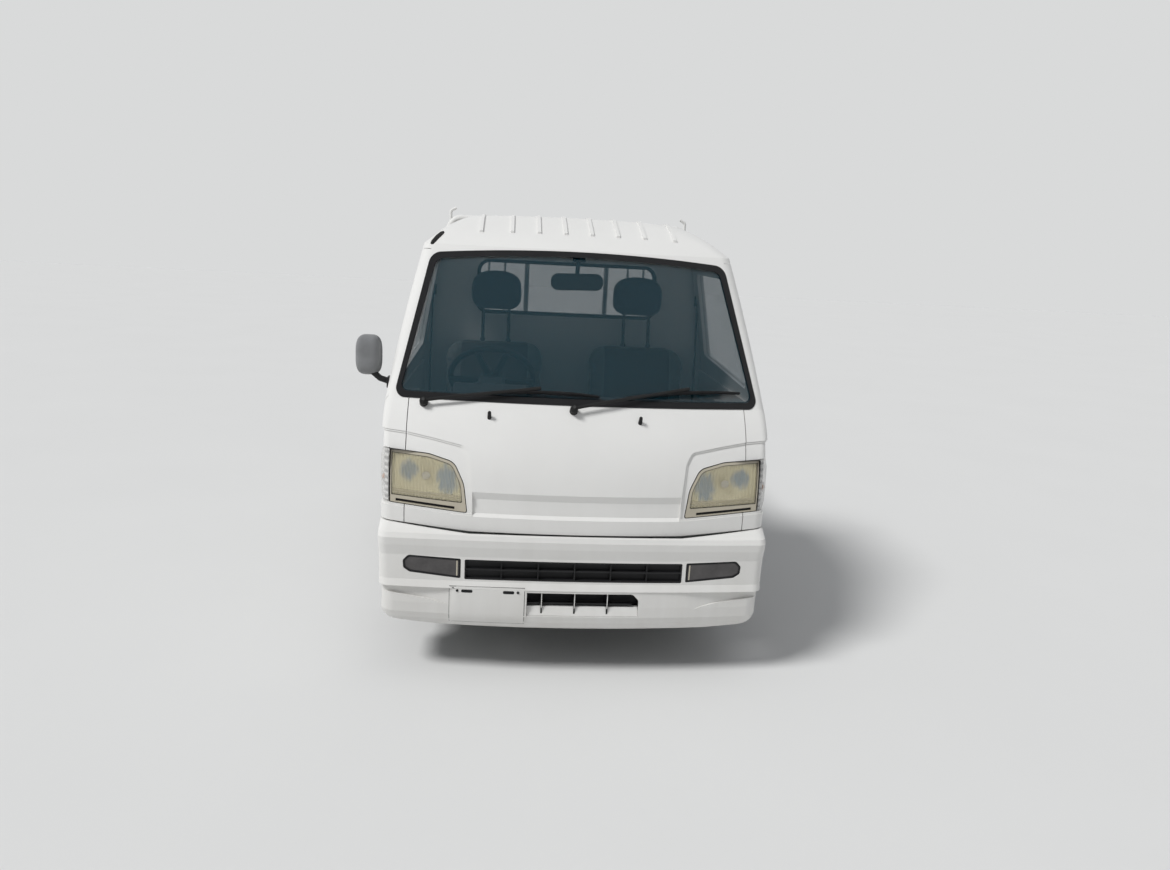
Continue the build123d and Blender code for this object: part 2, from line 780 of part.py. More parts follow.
def front_suspension():
    """Cross member, lower arms, strut springs and steering rack."""
    beam = box(-330, 330, AXLE_F - 60, AXLE_F + 60, 250, RAIL_LOW)
    rack = cross_rod(-380, 380, AXLE_F - 110, 262, 20)
    brackets = twin(box(300, 330, AXLE_F - 112, AXLE_F - 55, 255, 290))
    body = beam + rack + brackets
    for side in (-1, 1):
        arm = rod((side * 320, AXLE_F, 262), (side * KNUCKLE_X, AXLE_F, 152), 16)
        ball = rod((side * KNUCKLE_X, AXLE_F, 150), (side * KNUCKLE_X, AXLE_F, 190), 13)
        body = body + arm + ball
    return body


def strut(side):
    """Damper rod, spring and top mount of one front strut, above the knuckle."""
    x = side * KNUCKLE_X
    low, high = 486.0, STRUT_TOP - 12
    piston = rod((x, AXLE_F, 410), (x, AXLE_F, STRUT_TOP), 9)
    cup = rod((x, AXLE_F, high), (x, AXLE_F, STRUT_TOP), 52)
    body = (piston + cup) & arch_cut(HOUSE_R, x - 60, x + 60, AXLE_F)
    turns = 4
    pitch = (high - low) / turns
    coil = make_face(Polyline((35, 0), (42, -7), (49, 0), (42, 7), close=True))
    for turn in range(turns):
        z = low + pitch * (turn + 0.5)
        ring = revolve(Plane(origin=(x, AXLE_F, z), z_dir=(0, -1, 0), x_dir=(1, 0, 0)) * coil,
                       axis=Axis((x, AXLE_F, z), (0, 0, 1)))
        body = body + ring
    posts = box(x - 3, x + 3, AXLE_F - 44, AXLE_F - 40, low + 4, high)
    return body + posts


def knuckle():
    """Upright of the +X front wheel with its stub axle, brake drum and strut tube."""
    x = KNUCKLE_X
    upright = box(x - 22, x + 24, AXLE_F - 34, AXLE_F + 34, 198, 340)
    tube = rod((x, AXLE_F, 330), (x, AXLE_F, 474), 22)
    perch = rod((x, AXLE_F, 466), (x, AXLE_F, 474), 50)
    tube = tube + perch - rod((x, AXLE_F, 400), (x, AXLE_F, 480), 9.4)
    stub = rod((x + 20, AXLE_F, AXLE_Z), (TRACK_F / 2 + 57, AXLE_F, AXLE_Z), STUB_R)
    drum = rod((x + 24, AXLE_F, AXLE_Z), (x + 34, AXLE_F, AXLE_Z), 112)
    drum = drum + rod((x + 34, AXLE_F, AXLE_Z), (TRACK_F / 2 - 12, AXLE_F, AXLE_Z), 100)
    steer_arm = box(x - 18, x + 8, AXLE_F - 120, AXLE_F - 30, 236, 254)
    return upright + tube + stub + drum + steer_arm


def rear_axle():
    tube = cross_rod(-540, 540, AXLE_R, AXLE_Z, 36)
    bowl = Pos(0, AXLE_R, AXLE_Z) * Sphere(118)
    nose = rod((0, AXLE_R, AXLE_Z), (0, AXLE_R - 190, AXLE_Z + 12), 48)
    stubs = twin(cross_rod(530, TRACK_R / 2 + 57, AXLE_R, AXLE_Z, STUB_R))
    plates = twin(cross_rod(540, 552, AXLE_R, AXLE_Z, 112))
    plates = plates + twin(cross_rod(550, TRACK_R / 2 - 12, AXLE_R, AXLE_Z, 100))
    return tube + bowl + nose + stubs + plates


SPRING_X = 455.0
SPRING_HALF = 500.0
LEAF_T = 8.0


def leaf_springs():
    """Arched leaves above the axle with their eyes, hangers and U-bolt plates."""
    springs = []
    for side in (-1, 1):
        x0 = side * SPRING_X - 27
        x1 = side * SPRING_X + 27
        parts = None
        for leaf, reach in enumerate((SPRING_HALF, 380, 260, 150)):
            top = AXLE_Z + 72 - leaf * LEAF_T
            rise = 92 * (reach / SPRING_HALF) ** 2
            tip = top + rise
            under = top - LEAF_T
            arc = ThreePointArc((AXLE_R - reach, tip), (AXLE_R, top), (AXLE_R + reach, tip))
            low = tip - LEAF_T
            back = ThreePointArc((AXLE_R + reach, low), (AXLE_R, under), (AXLE_R - reach, low))
            wire = Wire([arc, Line(arc @ 1, back @ 0), back, Line(back @ 1, arc @ 0)])
            piece = extrude(SIDE.offset(x0) * make_face(wire), amount=x1 - x0)
            parts = piece if parts is None else parts + piece
        saddle = box(x0 - 4, x1 + 4, AXLE_R - 50, AXLE_R + 50, AXLE_Z + 36, AXLE_Z + 44)
        parts = parts + saddle
        for y in (AXLE_R - SPRING_HALF, AXLE_R + SPRING_HALF):
            eye = cross_rod(x0 - 6, x1 + 6, y, AXLE_Z + 160, 18)
            lug = box(x0 - 10, x0 - 2, y - 26, y + 26, AXLE_Z + 150, BED_RAIL_LOW + 40)
            lug2 = box(x1 + 2, x1 + 10, y - 26, y + 26, AXLE_Z + 150, BED_RAIL_LOW + 40)
            rail_x = side * (RAIL_X + RAIL_W / 2)
            near = min(rail_x, x1)
            far = max(rail_x, x0)
            hanger = box(near, far, y - 26, y + 26, BED_RAIL_LOW + 20, BED_RAIL_LOW + 40)
            parts = parts + eye + lug + lug2 + hanger
        springs.append(parts)
    return springs


def engine_block():
    """Engine and gearbox as one plain block, on its four mounts between the rails."""
    body = box(-230, 230, -790, -330, 250, 620)
    for y in (-720, -470):
        body = body + twin(box(229, RAIL_X - RAIL_W / 2, y - 25, y + 25, 330, 360))
    return body


def propeller_shaft():
    shaft = rod((0, -336, 330), (0, AXLE_R - 184, AXLE_Z + 12), 30)
    return shaft - engine_block() - rear_axle()


def exhaust():
    pipe = tube_path([(-180, -330, 300), (-180, -200, 300), (-290, -60, 300), (-290, 400, 300)], 20, 60)
    silencer = rod((-290, 398, 300), (-290, 760, 300), 75)
    tail = tube_path([(-290, 758, 300), (-290, 840, 300), (-520, 900, 240)], 19, 40)
    hanger = box(-296, -284, 560, 580, 372, BED_RAIL_LOW + 20) + box(-330, -284, 560, 580, 520, 532)
    return pipe + silencer + tail + hanger


def fuel_tank():
    body = side_solid([(-150, 250, 30), (-150, 470, 30), (380, 470, 30), (380, 250, 30)], -640, -385)
    straps = box(-644, -381, -60, -30, 246, 474) + box(-644, -381, 260, 290, 246, 474)
    hangers = box(-460, -420, -60, -30, 470, 610) + box(-460, -420, 260, 290, 470, 610)
    return body + straps + hangers


def radiator():
    core = box(-300, 300, -1628, -1598, 300, 560)
    tanks = twin(box(300, 345, -1630, -1594, 290, 570))
    return core + tanks


# Wheels

def tyre(x, y):
    """Tyre with rounded shoulders, carcass and bead seats, turned about its axle."""
    w = TYRE_W / 2
    half = [(0, TYRE_R), (w - 26, TYRE_R), (w - 8, TYRE_R - 13), (w, RIM_R + 62), (w - 4, RIM_R + 22),
            (w - 10.5, RIM_R + 16.4), (w - 16, RIM_R + 16.2), (w - 19.2, RIM_R + 4), (w - 34, RIM_R + 2.8),
            (w - 28, RIM_R + 22), (0, RIM_R + 52)]
    other = [(-u, r) for u, r in half[-2:0:-1]]
    section = Polyline(*half, *other, close=True)
    face = Plane.XY * make_face(section)
    ring = revolve(face, axis=Axis.X)
    return Pos(x, y, AXLE_Z) * ring


def rim(x, y, side):
    """Pressed steel wheel: flanges, well, dished disc with hand holes, nuts and hub cap."""
    w = RIM_W / 2
    seat = RIM_R + 3.5
    outer = [(-w - 4, seat + 12), (-w, seat + 12), (-w + 3, seat), (-w + 22, seat - 2),
             (-w + 34, seat - 24), (w - 44, seat - 24), (w - 26, seat - 2), (w - 3, seat),
             (w, seat + 12), (w + 4, seat + 12)]
    inner = [(w + 1, seat - 4), (w - 24, seat - 7), (w - 42, seat - 29), (-w + 32, seat - 29),
             (-w + 20, seat - 7), (-w - 1, seat - 4)]
    barrel = revolve(make_face(Polyline(*outer, *inner, close=True)), axis=Axis.X)
    bore = STUB_R + RUN_GAP
    disc_profile = [(w - 42, seat - 26), (w - 30, 100), (w - 18, 84), (w - 20, 40), (w - 20, bore),
                    (w - 26, bore), (w - 26, 82), (w - 38, 98), (w - 50, seat - 26)]
    disc = revolve(make_face(Polyline(*disc_profile, close=True)), axis=Axis.X)
    hub_profile = [(w - 60, bore), (w - 60, 34), (w - 20, 34), (w - 20, 38), (w - 6, 34),
                   (w + 8, 20), (w + 10, 0), (w + 6, 0), (w + 2, bore)]
    hub = revolve(make_face(Polyline(*hub_profile, close=True)), axis=Axis.X)
    body = barrel + disc + hub
    for hole in range(HAND_HOLES):
        angle = 2 * math.pi * hole / HAND_HOLES
        y_h = HAND_HOLE_CIRCLE_R * math.cos(angle)
        z_h = HAND_HOLE_CIRCLE_R * math.sin(angle)
        body = body - rod((w - 60, y_h, z_h), (w, y_h, z_h), 11)
    for nut in range(NUTS):
        angle = 2 * math.pi * (nut + 0.5) / NUTS
        y_n = BOLT_CIRCLE_R * math.cos(angle)
        z_n = BOLT_CIRCLE_R * math.sin(angle)
        body = body + rod((w - 24, y_n, z_n), (w - 6, y_n, z_n), 10)
    if side < 0:
        body = mirrored(body)
    return Pos(x, y, AXLE_Z) * body


# Bed

def fixed_hinge(at, along):
    """Two outer barrels of a gate hinge and the pin through them."""
    middle = Vector(*at)
    step = Vector(*along)
    pin = rod(middle - step * 45, middle + step * 45, HINGE_R / 2)
    for end in (-35, 35):
        pin = pin + rod(middle + step * (end - 10), middle + step * (end + 10), HINGE_R)
    return pin


def gate_barrel(at, along):
    """Middle barrel of a gate hinge, turning on the pin."""
    middle = Vector(*at)
    step = Vector(*along)
    start = middle - step * 20
    end = middle + step * 20
    return rod(start, end, HINGE_R) - rod(start - step, end + step, HINGE_R / 2 + RUN_GAP)


def bed_floor():
    """Floor sheet with its long swages, side sills and cross bearers."""
    half = BED_HALF - GATE_T - 6
    sheet = box(-half, half, BED_FRONT, BED_BACK, BED_FLOOR_Z - BED_T, BED_FLOOR_Z - 6)
    body = sheet
    count = 13
    pitch = 2 * half / count
    for i in range(count):
        x = -half + pitch * (i + 0.5)
        rib = pitch * 0.32
        body = body + box(x - rib, x + rib, BED_FRONT, BED_BACK - 6, BED_FLOOR_Z - 8, BED_FLOOR_Z)
    side_face = BED_HALF - 4
    sill = box(half - 10, side_face, BED_FRONT, BED_BACK, 560, BED_FLOOR_Z - 10)
    sill = sill - box(half - 4, side_face - 6, BED_FRONT - 1, BED_BACK + 1, 550, BED_FLOOR_Z - 16)
    sill = sill - arch_cut(300, half - 20, HALF + 1, AXLE_R)
    for y in SIDE_HINGES:
        sill = sill - box(BED_HALF - 12, HALF, y - 25, y + 25, HINGE_Z - 12, BED_FLOOR_Z)
        sill = sill + fixed_hinge((BED_HALF, y, HINGE_Z), (0, 1, 0))
        sill = sill + box(side_face - 6, BED_HALF, y - 45, y - 25, HINGE_Z - 40, HINGE_Z)
        sill = sill + box(side_face - 6, BED_HALF, y + 25, y + 45, HINGE_Z - 40, HINGE_Z)
    body = body + twin(sill)
    back = box(-half, half, BED_BACK - 10, BED_BACK, 600, BED_FLOOR_Z - 8)
    body = body + back
    for x in TAIL_HINGES:
        body = body + fixed_hinge((x, TAIL_Y, HINGE_Z), (1, 0, 0))
        for end in (x - 35, x + 35):
            body = body + box(end - 10, end + 10, BED_BACK - 2, TAIL_Y, HINGE_Z - 10, HINGE_Z - 2)
    bearer_low = BED_RAIL_LOW + RAIL_H
    for y in BEARERS:
        body = body + box(-half + 5, half - 5, y - 22, y + 22, bearer_low, BED_FLOOR_Z - BED_T + 1)
    for y in (-120, 220, 560, 1400):
        hook = rod((side_face - 6, y, 590), (side_face + 7, y, 590), 5)
        hook = hook + box(side_face + 1, side_face + 7, y - 5, y + 5, 560, 594)
        body = body + twin(hook)
    return body


def guard_frame():
    """Headboard of the bed with the window guard above it."""
    half = BED_HALF - GATE_T
    y0, y1 = BED_FRONT - 24, BED_FRONT
    wall = box(-half, half, y0, y1, BED_FLOOR_Z - BED_T, GATE_TOP)
    for x in (-520, -260, 0, 260, 520):
        wall = wall - box(x - 95, x + 95, y0 - 1, y0 + 8, BED_FLOOR_Z + 30, GATE_TOP - 40)
    post_x = 590.0
    body = wall
    top = GUARD_TOP
    y = BED_FRONT - 16
    hoop = tube_path([(-post_x, y, GATE_TOP - 10), (-post_x, y, top - 16), (post_x, y, top - 16),
                      (post_x, y, GATE_TOP - 10)], 16, 60)
    body = body + hoop
    body = body + cross_rod(-post_x, post_x, y, 1255, 13)
    for x, r in ((390, 6), (310, 6), (200, 12)):
        body = body + twin(rod((x, y, 1250), (x, y, top - 16), r))
    for x in (-post_x + 6, post_x - 6):
        tip_x = x - math.copysign(26, x)
        horn = tube_path([(x, y, top - 30), (x, y, top + 18), (tip_x, y, top + 32)], 7, 14)
        body = body + horn
    return body


def gate_panel(length):
    """Drop side drawn flat: length along X, thickness along Y, height along Z."""
    height = GATE_TOP - GATE_LOW
    body = box(-length / 2, length / 2, 0, GATE_T - 4, 0, height)
    body = body - box(-length / 2 - 1, length / 2 + 1, 7, GATE_T, 34, height - 34)
    count = max(4, int(length / 150))
    pitch = (length - 30) / count
    for i in range(count):
        x = -length / 2 + 15 + pitch * (i + 0.5)
        body = body + box(x - pitch * 0.36, x + pitch * 0.36, 0, GATE_T - 10, 44, height - 44)
    return body


def cross_pin(at, along):
    """Bore of a gate hinge."""
    middle = Vector(*at)
    step = Vector(*along)
    return rod(middle - step * 50, middle + step * 50, HINGE_R / 2 + RUN_GAP)


def side_gate():
    length = BED_BACK - 2 * GATE_GAP - BED_FRONT
    panel = gate_panel(length)
    face_x = BED_HALF - 4
    corner = (BED_HALF - GATE_T, (BED_BACK + BED_FRONT) / 2, GATE_LOW)
    place = Plane(origin=corner, x_dir=(0, -1, 0), z_dir=(0, 0, 1))
    body = place * panel
    for y in SIDE_HINGES:
        body = body + box(face_x - 20, BED_HALF + 1, y - 20, y + 20, GATE_LOW + 2, GATE_LOW + 60)
        body = body + box(face_x, BED_HALF + 1, y - 20, y + 20, HINGE_Z, GATE_LOW + 60)
        body = body + gate_barrel((BED_HALF, y, HINGE_Z), (0, 1, 0))
        body = body - cross_pin((BED_HALF, y, HINGE_Z), (0, 1, 0))
    for y in (BED_FRONT + 60, BED_BACK - 70):
        body = body + box(face_x - 1, HALF - 1, y - 14, y + 14, GATE_TOP - 110, GATE_TOP - 20)
        body = body + box(face_x - 20, face_x, y - 20, y + 20, GATE_TOP - 120, GATE_TOP - 10)
    return body


def tail_gate():
    panel = gate_panel(2 * BED_HALF - 2)
    place = Plane(origin=(0, TAIL_Y - GATE_T, GATE_LOW), x_dir=(1, 0, 0), z_dir=(0, 0, 1))
    body = place * panel
    face_y = TAIL_Y - 4
    for x in TAIL_HINGES:
        body = body + box(x - 20, x + 20, face_y - 20, TAIL_Y + 1, GATE_LOW + 2, GATE_LOW + 60)
        body = body + box(x - 20, x + 20, face_y, TAIL_Y + 1, HINGE_Z, GATE_LOW + 60)
        body = body + gate_barrel((x, TAIL_Y, HINGE_Z), (1, 0, 0))
        body = body - cross_pin((x, TAIL_Y, HINGE_Z), (1, 0, 0))
    for x in (-BED_HALF + 60, BED_HALF - 60):
        body = body + box(x - 30, x + 30, face_y - 1, REAR - 2, GATE_TOP - 70, GATE_TOP - 40)
        body = body + box(x - 36, x + 36, face_y - 20, face_y, GATE_TOP - 80, GATE_TOP - 30)
    return body


TAIL_LAMP = [(516, 471, 8), (516, 574, 8), (682, 574, 8), (682, 471, 8)]


def rear_beam():
    """Rear cross panel with the lamp recesses and the plate bracket."""
    body = box(-684, 684, REAR - 56, REAR - 44, 440, 598)
    body = body - twin(face_solid(TAIL_LAMP, REAR - 70, REAR - 26))
    stays = twin(box(RAIL_X - 20, RAIL_X + 20, REAR - 60, REAR - 54, 445, 598))
    bar = cross_rod(-640, 640, REAR - 60, 352, 20)
    arms = twin(box(RAIL_X - 20, RAIL_X + 20, REAR - 80, REAR - 60, 345, BED_RAIL_LOW))
    return body + stays + bar + arms


def tail_lamps():
    return face_solid(TAIL_LAMP, REAR - 64, REAR - 26)


def mudguards():
    """Flaps behind the wheels and the arch liners over the rear wheels."""
    liner = cross_rod(565, 684, AXLE_R, AXLE_Z, 322) - cross_rod(560, 705, AXLE_R, AXLE_Z, 316)
    liner = liner & box(560, 710, AXLE_R - 330, AXLE_R + 330, AXLE_Z + 120, 620)
    liner = liner + box(600, 630, AXLE_R - 12, AXLE_R + 12, AXLE_Z + 318, BED_FLOOR_Z - BED_T)
    flap = box(575, 684, BEARERS[5] + 22, BEARERS[5] + 28, 150, 640)
    front_flap = box(575, 686, AXLE_F + HOUSE_R, AXLE_F + HOUSE_R + 5, 150, DECK_Z - 18)
    pieces = []
    for piece in (liner, flap, front_flap):
        pieces += [piece, mirrored(piece)]
    return pieces


def spare_wheel():
    tilt = Rot(0, 90, 0)
    ring = Pos(0, SPARE_Y, SPARE_Z) * tilt * Pos(0, 0, -AXLE_Z) * tyre(0, 0)
    wheel = Pos(0, SPARE_Y, SPARE_Z) * tilt * Pos(0, 0, -AXLE_Z) * rim(0, 0, 1)
    hanger = rod((0, SPARE_Y, SPARE_Z - 64), (0, SPARE_Y, BED_RAIL_LOW + 15), 8)
    return ring, wheel, hanger


def door_mirror():
    """Mirror on the -X door: housing, glass side and the arm to the door."""
    rim = [(-868, 1106, 26), (-868, 1262, 26), (-768, 1262, 26), (-768, 1106, 26)]
    glass_rim = [(-860, 1114, 20), (-860, 1254, 20), (-776, 1254, 20), (-776, 1114, 20)]
    housing = face_solid(rim, -1370, -1305) - face_solid(glass_rim, -1312, -1300)
    arm = rod((-800, -1345, 1112), (-716, -1345, 1082), 13)
    foot = box(-737, -728, -1372, -1318, 1062, 1104)
    return housing + arm + foot - lower_solid - upper_solid


# Write the nodes

NODES = {}


def add(name, *parts):
    solids = []
    for part in parts:
        solids.extend(part.solids())
    NODES[name] = Compound(children=solids) if len(solids) > 1 else solids[0]


right_door = door()
add("door_right", mirrored(right_door))
add("door_left", right_door)
glass = door_glass()
add("door_glass_left", glass)
add("door_glass_right", mirrored(glass))
add("front_panel", front_panel())
corner = corner_panel()
add("corner_panels", corner, mirrored(corner))
side = side_frame()
add("side_frames", side, mirrored(side))
roof_body = roof()
add("roof", roof_body)
add("rear_panel", rear_panel())
add("windscreen", windscreen())
add("window_seals", *window_seals())
add("rear_window", rear_window())
head = front_wall & lamp_zone(0) & box(400, OUT_X, OUT_Y, PILLAR_Y, 600, 900)
add("headlamps", head, mirrored(head))
corner_lamp = front_wall & corner_zone(0)
add("corner_lamps", corner_lamp, mirrored(corner_lamp))
bumper_body = bumper()
add("bumper", bumper_body)
add("grille", *grille())
lens = bumper_lamps()
add("bumper_lamps", lens, mirrored(lens))

add("cab_floor", cab_floor())
add("dashboard", dashboard())
add("steering_wheel", steering_wheel())
add("steering_column", steering_column())
add("driver_seat", seat(-SEAT_X))
add("passenger_seat", seat(SEAT_X))
add("cab_controls", *cab_controls())
add("room_mirror", room_mirror())
add("wipers", *[wiper(*row) for row in WIPERS])
rail = frame_rail()
add("ladder_frame", rail, mirrored(rail))
add("cross_members", *cross_members())
add("front_suspension", front_suspension(), strut(-1), strut(1))
right_knuckle = knuckle()
add("knuckle_left", right_knuckle)
add("knuckle_right", mirrored(right_knuckle))
add("rear_axle", rear_axle())
add("leaf_springs", *leaf_springs())
add("engine_block", engine_block())
add("propeller_shaft", propeller_shaft())
add("exhaust", exhaust())
add("fuel_tank", fuel_tank())
add("radiator", radiator())
for name, x, y in (
    ("front_left", TRACK_F / 2, AXLE_F),
    ("front_right", -TRACK_F / 2, AXLE_F),
    ("rear_left", TRACK_R / 2, AXLE_R),
    ("rear_right", -TRACK_R / 2, AXLE_R),
):
    add("tyre_" + name, tyre(x, y))
    add("rim_" + name, rim(x, y, math.copysign(1, x)))
add("bed_floor", bed_floor())
add("guard_frame", guard_frame())
gate = side_gate()
add("gate_left", gate)
add("gate_right", mirrored(gate))
add("tail_gate", tail_gate())
add("rear_beam", rear_beam())
lamp = tail_lamps()
add("tail_lamps", lamp, mirrored(lamp))
add("mudguards", *mudguards())
spare_tyre, spare_rim, spare_hanger = spare_wheel()
add("spare_tyre", spare_tyre)
add("spare_rim", spare_rim + spare_hanger)
add("door_mirror", door_mirror())

for name, part in NODES.items():
    export_step(part, f"parts/{name}.step")
    print(name, len(part.solids()), "solids")
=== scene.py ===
import json
import math

import bmesh
import bpy
from mathutils import Matrix, Vector
from mathutils.bvhtree import BVHTree


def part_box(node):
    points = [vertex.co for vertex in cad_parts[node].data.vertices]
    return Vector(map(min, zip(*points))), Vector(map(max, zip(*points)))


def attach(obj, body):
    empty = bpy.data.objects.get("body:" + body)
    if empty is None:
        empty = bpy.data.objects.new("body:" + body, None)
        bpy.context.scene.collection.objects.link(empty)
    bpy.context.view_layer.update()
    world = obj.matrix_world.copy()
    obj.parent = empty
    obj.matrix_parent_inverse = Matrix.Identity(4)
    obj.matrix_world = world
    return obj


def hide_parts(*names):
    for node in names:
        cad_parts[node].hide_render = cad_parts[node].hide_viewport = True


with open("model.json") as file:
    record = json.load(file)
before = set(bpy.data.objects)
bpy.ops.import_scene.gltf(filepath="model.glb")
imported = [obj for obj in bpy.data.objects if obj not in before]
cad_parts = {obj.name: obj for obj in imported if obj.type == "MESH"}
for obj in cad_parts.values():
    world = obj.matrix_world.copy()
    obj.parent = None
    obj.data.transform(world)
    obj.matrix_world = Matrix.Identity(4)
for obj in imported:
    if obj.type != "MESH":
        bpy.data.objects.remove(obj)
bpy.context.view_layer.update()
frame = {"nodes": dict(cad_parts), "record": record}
nodes = frame["nodes"]

# Shapes are given in mm and made in metres. The front is towards -y and the driver sits at negative x.
MM = 1000
SIDES = {1: "left", -1: "right"}
# x of the seats' middles, and of the seams on both sides of each middle
SEAT_X = 345
SEAM_X = 160


# Materials

COAT_ROUGH = 0.22
# Noise values between which a slow colour change runs from dark to light
MOTTLE = (0.3, 0.7)


def surface(name, rough, metal=0.0, coat=0.0):
    """A new material with its node tree and its shader."""
    material = bpy.data.materials.new(name)
    material.use_nodes = True
    tree = material.node_tree
    shader = tree.nodes["Principled BSDF"]
    shader.inputs["Roughness"].default_value = rough
    shader.inputs["Metallic"].default_value = metal
    shader.inputs["Coat Weight"].default_value = coat
    shader.inputs["Coat Roughness"].default_value = COAT_ROUGH
    return material, tree, shader


def feed(tree, socket, value):
    """Sets an input to a constant or links it to another node's output."""
    if isinstance(value, bpy.types.NodeSocket):
        tree.links.new(value, socket)
    else:
        socket.default_value = value


def calc(tree, operation, *values):
    """Result of one operation on constants or outputs."""
    node = tree.nodes.new("ShaderNodeMath")
    node.operation = operation
    for socket, value in zip(node.inputs, values):
        feed(tree, socket, value)
    return node.outputs[0]


def coordinate(tree, letter, source="Object"):
    """One axis of a coordinate, in metres."""
    place = tree.nodes.new("ShaderNodeTexCoord")
    split = tree.nodes.new("ShaderNodeSeparateXYZ")
    tree.links.new(place.outputs[source], split.inputs["Vector"])
    return split.outputs[letter]


def wave(tree, place, pitch):
    """Wave along a coordinate, with its pitch in metres."""
    return calc(tree, "SINE", calc(tree, "MULTIPLY", place, 2 * math.pi / pitch))


def noise(tree, scale, detail=4.0, stretch=(1, 1, 1)):
    """Noise that stays in place on the object."""
    place = tree.nodes.new("ShaderNodeTexCoord")
    mapping = tree.nodes.new("ShaderNodeMapping")
    mapping.inputs["Scale"].default_value = stretch
    texture = tree.nodes.new("ShaderNodeTexNoise")
    texture.inputs["Scale"].default_value = scale
    texture.inputs["Detail"].default_value = detail
    tree.links.new(place.outputs["Object"], mapping.inputs["Vector"])
    tree.links.new(mapping.outputs["Vector"], texture.inputs["Vector"])
    return texture.outputs["Fac"]


def ramp(tree, source, low, high, first, second):
    """Colour that runs from first to second while source goes from low to high."""
    stops = tree.nodes.new("ShaderNodeValToRGB")
    start, end = stops.color_ramp.elements
    start.position = low
    end.position = high
    start.color = (*first, 1)
    end.color = (*second, 1)
    tree.links.new(source, stops.inputs["Fac"])
    return stops.outputs["Color"]


def patches(tree, scale, dark, light):
    """Slow colour change over the piece."""
    return ramp(tree, noise(tree, scale), *MOTTLE, dark, light)


def mixed(tree, amount, first, second, blend="MIX"):
    """Mix of two colours."""
    node = tree.nodes.new("ShaderNodeMix")
    node.data_type = "RGBA"
    node.blend_type = blend
    feed(tree, node.inputs["Factor"], amount)
    feed(tree, node.inputs["A"], first)
    feed(tree, node.inputs["B"], second)
    return node.outputs["Result"]


def bump(tree, shader, source, strength, distance):
    """Fine relief in the surface, with its depth in metres."""
    node = tree.nodes.new("ShaderNodeBump")
    node.inputs["Strength"].default_value = strength
    node.inputs["Distance"].default_value = distance
    tree.links.new(source, node.inputs["Height"])
    tree.links.new(node.outputs["Normal"], shader.inputs["Normal"])


def solid(name, colour, rough, metal=0.0, spread=0.06, scale=6.0, grain=None, coat=0.0, shine=0.5):
    """An opaque finish.

    spread is the depth of its slow colour change and scale how close the patches lie.
    grain holds the scale, strength and depth of the fine relief.
    """
    material, tree, shader = surface(name, rough, metal, coat)
    shader.inputs["Specular IOR Level"].default_value = shine
    dark = [c * (1 - spread) for c in colour]
    light = [min(1, c * (1 + spread * 0.5)) for c in colour]
    feed(tree, shader.inputs["Base Color"], patches(tree, scale, dark, light))
    if grain:
        fineness, strength, depth = grain
        bump(tree, shader, noise(tree, fineness, 2.0), strength, depth)
    return material


def thin_glass(name, colour, alpha, rough, ior, flutes=0.0):
    """Glass or clear plastic: light goes straight through; flutes is the pitch of moulded ribs in metres."""
    material, tree, shader = surface(name, rough)
    shader.inputs["IOR"].default_value = ior
    shader.inputs["Alpha"].default_value = alpha
    dark = [c * 0.92 for c in colour]
    feed(tree, shader.inputs["Base Color"], patches(tree, 3.0, dark, colour))
    if flutes:
        along = calc(tree, "ADD", coordinate(tree, "X"), coordinate(tree, "Y"))
        bump(tree, shader, wave(tree, along, flutes), 0.9, 0.0012)
    return material


# Middle x and z and half sizes in metres of the blue-grey painted reflections of the sky in the reflector
PAINTED_SKY_REFLECTIONS = ((0.487, 0.766, 0.042, 0.058), (0.628, 0.796, 0.034, 0.042))


def reflector_with_painted_reflections(name, warm, painted_sky):
    """Aged reflector: warm in the middle, with two ragged blue-grey painted reflections of the sky beside the
    bulb.
    """
    material, tree, shader = surface(name, 0.25, 0.6)
    out = calc(tree, "ABSOLUTE", coordinate(tree, "X"))
    height = coordinate(tree, "Z")
    ragged = calc(tree, "SUBTRACT", noise(tree, 70.0, 4.0, (1, 1, 0.3)), 0.5)
    shift = calc(tree, "MULTIPLY", ragged, 2.2)
    reflection_masks = []
    for at_x, at_z, reach_x, reach_z in PAINTED_SKY_REFLECTIONS:
        across = calc(tree, "DIVIDE", calc(tree, "SUBTRACT", out, at_x), reach_x)
        up = calc(tree, "DIVIDE", calc(tree, "SUBTRACT", height, at_z), reach_z)
        far = calc(tree, "ADD", calc(tree, "POWER", across, 2.0), calc(tree, "POWER", up, 2.0))
        reflection_masks.append(calc(tree, "SUBTRACT", 1.3, calc(tree, "ADD", far, shift)))
    reflection_mask = calc(tree, "MAXIMUM", *reflection_masks)
    feed(tree, shader.inputs["Base Color"], ramp(tree, reflection_mask, 0.0, 1.0, warm, painted_sky))
    return material


def ribbed_finish_with_painted_shade(name, lit_crest, groove, pitch):
    """Lamp moulding with level ribs, with a painted highlight on their crests and painted shade in their
    grooves.
    """
    material, tree, shader = surface(name, 0.3)
    ribs = wave(tree, coordinate(tree, "Z"), pitch)
    height = calc(tree, "MULTIPLY_ADD", ribs, 0.5, 0.5)
    # Light crests and dark grooves: painted highlight and painted shade on the ribs
    feed(tree, shader.inputs["Base Color"], ramp(tree, height, 0.1, 0.8, groove, lit_crest))
    bump(tree, shader, ribs, 0.8, 0.002)
    return material


# Height in metres up to which dirt settles, what is left of it above that height, and its colour
DIRT_TOP = 1.0
DIRT_LEFT = 0.12
DIRT = (0.42, 0.39, 0.34, 1)


